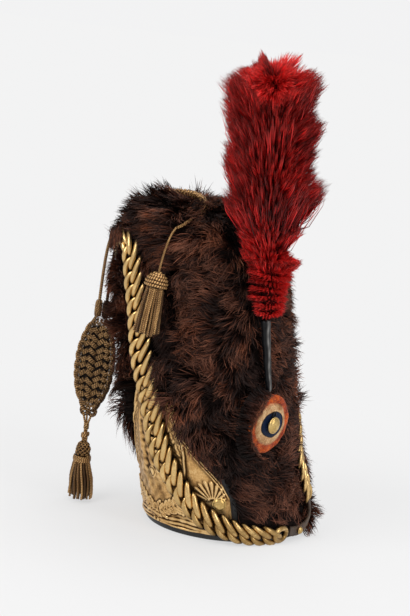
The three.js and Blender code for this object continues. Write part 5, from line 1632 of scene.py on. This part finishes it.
def cockade():
    cn = np.array([math.cos(math.radians(COCKADE_TURN)), math.sin(math.radians(COCKADE_TURN)), 0])
    fr = frame_at(COCKADE_AT, cn)
    R = 33.5
    face = np.array([(33.5, 1.3), (33.2, 2.2), (32, 3.0), (30.5, 3.5), (28.5, 3.7), (26, 4.1), (24, 4.6), (22.6, 5.2), (21.5, 5.7), (20, 6.0), (18.2, 6.1), (16.8, 6.2), (15.6, 6.7), (14, 7.0), (11, 7.1), (8, 7.1), (4, 7.1)], float)
    rows = [(0, 0), (20, 0), (31.5, 0.1), (33, 0.6)] + [tuple(x) for x in np.stack([np.interp(np.linspace(0, 16, 49), np.arange(17), face[:, k]) for k in (0, 1)], 1)] + [(0, 7.1)]
    v, f = lathe(rows, 132)
    rr = np.hypot(v[:, 0], v[:, 1])
    a = np.arctan2(v[:, 1], v[:, 0])
    frontish = (v[:, 2] > 0.9)
    wave = 0.45 * ripple(v[:, :2], 9, 90) + 0.34 * ripple(v[:, :2], 3.6, 91)
    v[:, 2] += frontish * wave * smooth(16, 22, rr)
    k = 1 + (0.012 * np.sin(a * 3 + 1) + 0.004 * np.sin(a * 8)) * smooth(24, 33, rr)
    share = rr / R
    paint = np.hypot((v[:, 0] - 2.2 * smooth(34, 6, rr)) * np.interp(share, [0.4, 0.7, 1], [0.82, 0.85, 1]), v[:, 1] * np.interp(share, [0.4, 0.7, 1], [1.07, 0.93, 1]))
    v[:, :2] *= k[:, None]
    ob = add_mesh("cockade_disc", placed(v, fr), f, cockade_paint(), "cockade_paint", levels={"ring": paint / R})
    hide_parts("cockade")
    rows = [(0, 0), (4.2, 0), (4.6, 1.1), (8.6, 1.7), (9.3, 2.2), (9.4, 2.8), (9.1, 3.3), (8.4, 3.5), (8.0, 3.4)] + [(7.8 * math.cos(t_), 3.4 + 3.1 * math.sin(t_)) for t_ in np.linspace(0.1, 1.3, 9)] + [(0, 6.55)]
    v, f = lathe(rows, 48)
    v[:, 2] += 0.22 * ripple(v[:, :2], 2.2, 92) * (np.hypot(v[:, 0], v[:, 1]) < 7.6) * (v[:, 2] > 3.5)
    v[:, 2] += 7.45
    ob = add_mesh("cockade_button_gilt", placed(v, fr), f, GILT, "gilt_button")
    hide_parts("cockade_button")
    ring_ = np.stack([2.6 * np.cos(np.linspace(0, TAU, 25)[:-1]), 11.6 + 2.9 * np.sin(np.linspace(0, TAU, 25)[:-1]), np.full(24, 8.3)], 1)
    v, f, _ = tube(ring_, 0.75, 8, closed=True)
    add_mesh("cockade_loop", placed(v, fr), f, lacquer(), "stem_lacquer", levels={"rub": np.zeros(len(v))})


cockade()

# ---------------------------------------------------------------- plaited cord over the top


def plait(path, strands, wide, high, period, r_, bundle=1, gap=0.0, turn=0.16, sides=7, count=None, hint=None, shrink=None, taper=None, order=None, material_uv=0.4):
    """A flat plait along a path. Each strand goes from side to side and over and under."""
    bag = Bag()
    s = arc_of(path)
    tdir, a, b = frames_of(path, hint=hint)
    w = np.broadcast_to(np.asarray(wide, float), (len(path),))
    order = strands - 1 if order is None else order
    for k in range(strands):
        ph = s / period * TAU + TAU * k / strands
        line = path + a * (w * np.cos(ph))[:, None] + b * (high * np.sin(order * ph))[:, None]
        if bundle == 1:
            v, f, uv = twisted(line, r_, 2, turn, sides, 0.12, material_uv)
            bag.add(v, f, uv)
            continue
        td = unit(np.gradient(line, axis=0))
        across_ = unit(np.cross(td, b))
        for m in range(bundle):
            off = (m - (bundle - 1) / 2) * (2 * r_ + gap)
            v, f, uv = twisted(line + across_ * off, r_, 2, turn, sides, 0.12, material_uv)
            bag.add(v, f, uv)
    return bag


bl = curve(SUNK_BRAID, 150)
ease = np.interp(np.linspace(0, 1, 150), [0, 0.10, 0.74, 0.84, 1], [0.5, 1, 1, 0.42, 0.34])
v, f, uv = plait(bl, 3, 2.7 * ease, 1.35 * ease, 17.0, 1.75 * ease, turn=0.2, sides=8, hint=(0, 0, 1), order=2).done()
ob = add_mesh("top_braid_plait", v, f, BULLION, "gold_bullion", uv, "twist")
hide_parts("top_braid")
# ---------------------------------------------------------------- tassels


def wound(bag, profile, cord, pitch, lean=0.0, turn=0.2, start=0.0, sides=7, place_=None, tone_and_shade=0.95):
    """A cord wound side by side round a turned form, from its first row to its last."""
    p = np.asarray(profile, float)
    s = arc_of(p)
    turns = s[-1] / pitch
    n = int(turns * 26) + 2
    t = np.linspace(0, 1, n)
    r_ = np.interp(t * s[-1], s, p[:, 0])
    z = np.interp(t * s[-1], s, p[:, 1])
    a = t * turns * TAU + start
    line = np.stack([r_ * np.cos(a), r_ * np.sin(a), z + lean * r_ * np.cos(a + 0.6)], 1)
    if place_ is not None:
        line = place_(line)
    v, f, uv = twisted(line, cord, 2, turn, sides, 0.10, 0.4)
    n_ = len(line)
    # Painted shade: each winding is darkest in the valleys beside its neighbours and lightest on its outer top.
    body = v[:n_ * sides].reshape(n_, sides, 3)
    centre = line.mean(0)
    away = unit(line - centre)
    lift_ = ((body - line[:, None]) * away[:, None]).sum(-1) / cord
    ends = np.full(len(v) - n_ * sides, 0.6)
    bag.add(v, f, uv, np.concatenate([(tone_and_shade * (0.04 + 0.96 * smooth(-0.1, 0.85, lift_))).ravel(), ends]))


def turned(bag, profile, sides=36, place_=None, uv_scale=0.4, tone_and_shade=0.15):
    # Painted shade: the turned form under the cords is given a low level, so it is near-black where it shows between
    # them.
    p = np.asarray(profile, float)
    v, f = lathe(p, sides)
    uv = np.stack([np.arctan2(v[:, 1], v[:, 0]) / TAU + 0.5, v[:, 2] * uv_scale], 1)
    bag.add(v if place_ is None else place_(v), f, uv, tone_and_shade)


def skirt(bag, top, bottom, z_top, z_mid, z_bottom, mid, count, cord, seed, place_=None, inner=0, sag=1.2, sides=7, turn=0.16, flip=0.0):
    """Threads that hang from a ring, spread, and end ragged."""
    q = rng(seed)
    for layer in range(1 + (1 if inner else 0)):
        m = count if layer == 0 else inner
        scale = 1.0 if layer == 0 else 0.66
        for k in range(m):
            a0 = (k + 0.5 * layer) / m * TAU
            da = q.normal(0, 0.10)
            rb = bottom * scale * (1 + q.normal(0, 0.05))
            zb = z_bottom + abs(q.normal(0, sag))
            pts = []
            for t in np.linspace(0, 1, 9):
                r_ = np.interp(t, [0, 0.45, 1], [top * scale, mid * scale, rb])
                a = a0 + da * t + 0.02 * math.sin(5 * t + k)
                z = z_top + (zb - z_top) * t
                w = q.normal(0, 0.16) * t
                pts.append(((r_ + w) * math.cos(a), (r_ + w) * math.sin(a), z))
            pts = curve(np.array(pts), 22)
            pts = pts if place_ is None else place_(pts)
            v, f, uv = twisted(pts, cord * (1 + q.normal(0, 0.05)), 2, turn * (1 + q.normal(0, 0.1)), sides, 0.16, 0.5)
            # Each thread's tone differs at random; the inner layer is darkened further as painted shade.
            bag.add(v, f, uv, np.clip(q.uniform(0.20, 1.15), 0, 1) * (1.0 if layer == 0 else 0.45))


def front_tassel():
    rx, ry = math.radians(-FRONT_LEAN * 0.74), math.radians(FRONT_LEAN * 0.67)
    Rx = np.array([[1, 0, 0], [0, math.cos(rx), -math.sin(rx)], [0, math.sin(rx), math.cos(rx)]])
    Ry = np.array([[math.cos(ry), 0, math.sin(ry)], [0, 1, 0], [-math.sin(ry), 0, math.cos(ry)]])
    M = Rx @ Ry

    def place_(v):
        return v @ M.T + FRONT_HANG

    bag = Bag()
    turned(bag, [(0, -0.8), (3.4, -1.0), (7.4, -2.9), (9.8, -5.6), (10.8, -9), (10.6, -12.6), (8.0, -15.0), (0, -15.2)], 32, place_, tone_and_shade=0.05)
    wound(bag, [(2.0, 0.4), (4.8, -0.8), (7.8, -2.9), (9.9, -5.6), (10.9, -8.8), (11.0, -12.0), (10.0, -14.6)], 1.85, 3.55, 0.12, 0.16, place_=place_)
    wound(bag, [(2.1, 0.6), (2.3, -0.4)], 0.8, 0.6, 0.0, 0.2, place_=place_)
    v, f, uv = bag.done()
    head_ = add_mesh("front_tassel_turban", v, f, BULLION, "gold_bullion", uv, "twist", levels=bag.tone_and_shade())
    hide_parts("front_tassel_head")
    bag = Bag()
    turned(bag, [(0, -14.6), (6.4, -14.6), (7.4, -24), (8.0, -40), (7.8, -56), (6.2, -60), (0, -60.4)], 24, place_, tone_and_shade=0.03)
    skirt(bag, 8.2, 12.6, -14.4, -38, -66.4, 10.6, 24, 1.10, 101, place_, inner=15, sag=2.4, sides=8, turn=0.14)
    v, f, uv = bag.done()
    skirt_ = add_mesh("front_tassel_threads", v, f, BULLION, "gold_bullion", uv, "twist", levels=bag.tone_and_shade())
    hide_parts("front_tassel_skirt")
    return head_, skirt_


front_head, front_skirt = front_tassel()
float(arc_of(front_line)[-1]) * 0.001

# ---------------------------------------------------------------- flounder


def flounder():
    bag = Bag()
    N, count, r_ = 7, 215, 0.80
    z = np.linspace(214.5, 109.5, count)
    w = np.maximum(oval_half(z) - 4.6, 1.5)
    lam = 60.0
    thin = np.clip(w / 12, 0.42, 1)
    qf = rng(104)
    for k in range(N):
        ph = (214.5 - z) / lam * TAU + TAU * k / N + 0.3 + 0.10 * np.sin(z / 9.0 + k)
        q = w * np.cos(ph)
        under = np.abs(np.sin((N - 1) * ph))
        h = 2.5 * np.sin((N - 1) * ph) * thin
        # Painted shade: each strand is darkened where it passes through the middle of the weave between the others.
        sh = 0.12 + 0.88 * smooth(0.02, 0.55, under)
        line = at_hang(q, h, z + 2.0 * np.sin(2 * ph))
        td = unit(np.gradient(line, axis=0))
        side_ = unit(np.cross(td, facing))
        for m in (-1, 0, 1):
            path = line + side_ * (m * 1.72 * thin)[:, None] + facing * (-0.35 * abs(m) * np.sign(h) * thin)[:, None]
            v, f, uv = twisted(path, r_ * np.clip(thin, 0.6, 1), 2, 0.2, 6, 0.12, 0.4)
            bag.add(v, f, uv, ring_shade(sh * qf.uniform(0.72, 1.0), 6))
    v, f, uv = bag.done()
    weave = add_mesh("flounder_weave", v, f, OLIVE, "olive_cord", uv, "twist", levels=bag.tone_and_shade())
    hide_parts("flounder")
    # A dark sheet between the two faces of the weave: painted shade that shows through its gaps.
    zz = np.linspace(206, 117, 24)
    ww = np.maximum(oval_half(zz) - 7.0, 1.0)
    phi = np.arange(20) / 20 * TAU
    ring = np.concatenate([at_hang(w_ * np.cos(phi), 0.7 * np.sin(phi), np.full(20, z_)) for z_, w_ in zip(zz, ww)])
    i, j = np.arange(23)[:, None], np.arange(20)[None]
    q_ = np.stack([i * 20 + j, i * 20 + (j + 1) % 20, (i + 1) * 20 + (j + 1) % 20, (i + 1) * 20 + j], -1).reshape(-1, 4)
    j = np.arange(20)
    caps = np.concatenate([np.stack([np.full(20, 480), (j + 1) % 20, j], 1), np.stack([np.full(20, 481), 460 + j, 460 + (j + 1) % 20], 1)])
    vg = np.vstack([ring, at_hang(0, 0, 207), at_hang(0, 0, 116)])
    uvg = np.stack([np.tile(np.append(phi / TAU, []), 24).tolist() + [0, 0], (vg[:, 2] * 0.4).tolist()], 1)
    ground = add_mesh("flounder_ground", vg, [q_, caps], SHADED_CORD, "olive_cord", uvg, "twist", levels={"tone_and_shade": np.full(len(vg), 0.0)})
    # Border: a second cord inside each hanging cord's own.
    bag = Bag()
    for s_ in (-1, 1):
        v, f, uv = twisted(edge_line(s_, np.linspace(214.5, 106.5, 150), 4.2, -0.9, 0.5), 1.3, 2, 0.13, 8, 0.10, 0.3)
        bag.add(v, f, uv, 0.5)
        # Loop below the oval, doubled.
        for j, rr in enumerate((4.9, 2.9)):
            t = np.linspace(-0.35, 3.5, 30)
            q = s_ * (4.6 - rr * np.cos(t)) + 0.0
            line = at_hang(q, 0.6 * s_ + 0 * t, 107.5 - rr * 1.25 * np.sin(t))
            v, f, uv = twisted(line, 1.15, 2, 0.13, 8, 0.10, 0.3)
            bag.add(v, f, uv, 0.5)
    v, f, uv = bag.done()
    border = add_mesh("flounder_border", v, f, OLIVE, "olive_cord", uv, "twist", levels=bag.tone_and_shade())
    # Wound necks.
    necks = {}
    # The second neck is given the darker copy of the cord's colour: painted shade.
    for t_, mat in (("a", BULLION), ("b", SHADED_CORD)):
        n_ = neck_at[t_]

        def place_(v, n_=n_):
            return v + n_

        bag = Bag()
        turned(bag, [(0, 237.6), (2.4, 237.4), (3.4, 235), (3.6, 226), (3.2, 219.6), (1.8, 217.8), (0, 217.6)], 20, place_)
        wound(bag, [(2.4, 237.2), (3.6, 234.6), (3.8, 226), (3.4, 219.4), (2.0, 218)], 0.70, 1.35, 0.0, 0.2, place_=place_)
        v, f, uv = bag.done()
        ob = add_mesh("flounder_neck_%s_whipping" % t_, v, f, mat, "gold_bullion" if t_ == "a" else "olive_cord", uv, "twist", levels=bag.tone_and_shade())
        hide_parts("flounder_neck_" + t_)
        necks[t_] = ob

    def hang_(v):
        return v + HANG

    # Drop: three short cords that come together in a whipped stem and a knot. The middle one runs on into the ball.
    bag = Bag()
    for q0, o0, z0 in ((-5.4, 0.8, 104.5), (4.4, 0.4, 103.5)):
        pts = np.array([at_hang(q0, o0, z0), at_hang(q0 * 0.72, o0, 99), at_hang(q0 * 0.36, o0 * 0.8, 92.5), at_hang(q0 * 0.24, o0 * 0.7, 86.5), at_hang(q0 * 0.2, 0, 80)])
        v, f, uv = twisted(curve(pts, 26), 1.25, 2, 0.2, 8, 0.14, 0.4)
        bag.add(v, f, uv)
    pts = np.array([at_hang(-1.6, -0.9, 105.5), at_hang(-1.1, -0.9, 99), at_hang(-0.5, -0.7, 92.5), at_hang(-0.2, -0.3, 84), at_hang(0, 0, 74), at_hang(0, 0, 56)])
    drop_line = curve(pts, 60)
    v, f, uv = twisted(drop_line, 1.22, 2, 0.2, 8, 0.12, 0.4)
    drop_cord = add_mesh("flounder_drop_line", v, f, BULLION, "gold_bullion", uv, "twist")
    wound(bag, [(2.2, 93), (2.5, 90), (2.6, 86)], 0.75, 1.35, 0.05, 0.2, place_=hang_)
    for k in range(3):
        a = np.linspace(0, TAU, 26)[:-1]
        tilt = (0.5, -0.45, 0.1)[k]
        ring_ = np.stack([(3.5 + 0.3 * np.cos(2 * a)) * np.cos(a), (3.3) * np.sin(a), 78.6 + (1.0, -1.0, 0.2)[k] + tilt * 3.4 * np.cos(a + k * 2.1)], 1)
        v, f, uv = tube(ring_ + HANG, 1.55, 8, closed=True, lobes=2, depth=0.12, turn=0.2, uv_scale=0.4)
        bag.add(v, f, uv)
    for k in (-1, 1):
        pts = np.array([at_hang(k * 1.6, 0, 78), at_hang(k * 2.0, 0.3, 74.6), at_hang(k * 1.7, 0, 70.6)])
        v, f, uv = twisted(curve(pts, 10), 1.5, 2, 0.2, 8, 0.14, 0.4)
        bag.add(v, f, uv)
    v, f, uv = bag.done()
    drop_ = add_mesh("flounder_drop_knot", v, f, BULLION, "gold_bullion", uv, "twist", levels=bag.tone_and_shade())
    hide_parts("flounder_drop")
    # Ball, collar and threads of the low tassel.
    bag = Bag()
    turned(bag, [(0, 70.6), (2.6, 70.4), (5.6, 67.4), (7.3, 62.4), (7.2, 57.6), (7.0, 54.6), (0, 54)], 28, hang_)
    for k in range(9):
        for s_ in (1, -1):
            t = np.linspace(0, 1, 26)
            zz = 70.2 - t * 15.4
            rr = np.interp(zz, [54, 57, 62, 67, 70.4], [7.6, 7.9, 8.0, 6.2, 3.0])
            a = k / 9 * TAU + s_ * t * 2.3
            h = 0.42 * np.sin(t * 9 + (0 if s_ > 0 else math.pi))
            line = hang_(np.stack([(rr + h) * np.cos(a), (rr + h) * np.sin(a), zz], 1))
            v, f, uv = twisted(line, 0.62, 2, 0.3, 6, 0.12, 0.5)
            bag.add(v, f, uv)
    turned(bag, [(0, 54.4), (8.6, 54.2), (9.4, 52.6), (9.6, 48.6), (8.6, 46.8), (0, 46.8)], 28, hang_)
    wound(bag, [(8.8, 54.2), (9.7, 52.6), (10.0, 50.2), (9.8, 48.0), (9.0, 46.9)], 0.82, 1.5, 0.0, 0.25, place_=hang_)
    v, f, uv = bag.done()
    head_ = add_mesh("flounder_tassel_ball", v, f, BULLION, "gold_bullion", uv, "twist", levels=bag.tone_and_shade())
    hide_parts("flounder_tassel_head")
    bag = Bag()
    def low_(v):
        return v + HANG + SIDEWAYS * (3.5 * smooth(50, 8, v[..., 2:3]))

    turned(bag, [(0, 47), (6.4, 46.8), (8.2, 38), (8.4, 20), (7.4, 9), (0, 8.6)], 22, low_, tone_and_shade=0.03)
    skirt(bag, 8.6, 12.9, 47.2, 26, 2.9, 12.6, 19, 1.30, 103, low_, inner=12, sag=1.6, sides=8, turn=0.13)
    v, f, uv = bag.done()
    skirt_ = add_mesh("flounder_tassel_threads", v, f, BULLION, "gold_bullion", uv, "twist", levels=bag.tone_and_shade())
    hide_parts("flounder_tassel_skirt")
    float(arc_of(drop_line)[-1]) * 0.001
    return weave, border, ground, necks


weave, border, ground, necks = flounder()
for t, carried in (("a", (necks["a"], weave, border, ground)), ("b", (necks["b"],))):
    line = flounder_lines[t]
    float(arc_of(line)[-1]) * 0.001

# ---------------------------------------------------------------- floor and light


def studio():
    """A plain pale floor, an even pale room and three softboxes."""
    m = Mat("floor", Base_Color=(0.68, 0.68, 0.68), Roughness=0.9)
    m.b.inputs["Specular IOR Level"].default_value = 0.05
    x, y, _ = m.parts(m.coords())
    r_ = m.math("SQRT", m.math("ADD", m.math("MULTIPLY", x, x), m.math("MULTIPLY", y, y)))
    # Further out the floor is as bright as the room round it, so that it has no far edge.
    far = m.n("MapRange", {"Value": r_, "From Min": 0.22, "From Max": 0.75, "To Min": 0.66, "To Max": 1.0}, interpolation_type="SMOOTHSTEP")
    glow = m.n("Emission", {"Color": (0.895, 0.895, 0.897), "Strength": 1.0})
    both = m.n("MixShader", {0: far, 1: m.b.outputs[0], 2: glow})
    out = [n_ for n_ in m.t.nodes if n_.type == "OUTPUT_MATERIAL"][0]
    m.t.links.new(both, out.inputs[0])
    me = bpy.data.meshes.new("floor")
    me.from_pydata([(-14, -14, 0), (14, -14, 0), (14, 14, 0), (-14, 14, 0)], [], [(0, 1, 2, 3)])
    me.materials.append(m.m)
    floor = bpy.data.objects.new("floor", me)
    bpy.context.scene.collection.objects.link(floor)
    w = bpy.data.worlds.new("studio")
    bpy.context.scene.world = w
    w.use_nodes = True
    nt = w.node_tree
    bg = nt.nodes["Background"]
    bg.inputs[0].default_value = (0.90, 0.90, 0.905, 1)
    seen = nt.nodes.new("ShaderNodeLightPath")
    level = nt.nodes.new("ShaderNodeMapRange")
    level.inputs["To Min"].default_value, level.inputs["To Max"].default_value = 0.60, 0.99
    nt.links.new(seen.outputs["Is Camera Ray"], level.inputs["Value"])
    nt.links.new(level.outputs[0], bg.inputs[1])

    def softbox(name, at, aim, size, power, tint=(1, 1, 1)):
        ld = bpy.data.lights.new(name, "AREA")
        ld.shape, ld.size, ld.size_y, ld.energy, ld.color = "RECTANGLE", size[0], size[1], power, tint
        ob = bpy.data.objects.new(name, ld)
        ob.location = at
        ob.rotation_euler = (Vector(aim) - Vector(at)).to_track_quat("-Z", "Y").to_euler()
        bpy.context.scene.collection.objects.link(ob)

    softbox("key", (0.2, -1.9, 1.7), (0, 0, 0.22), (1.1, 1.1), 30)
    softbox("side", (2.1, 0.3, 1.2), (0, 0, 0.22), (0.8, 1.4), 22)
    softbox("top", (0.1, 0.2, 2.4), (0, 0, 0.2), (1.4, 1.4), 26)


studio()
bpy.context.scene.view_settings.view_transform = "Standard"
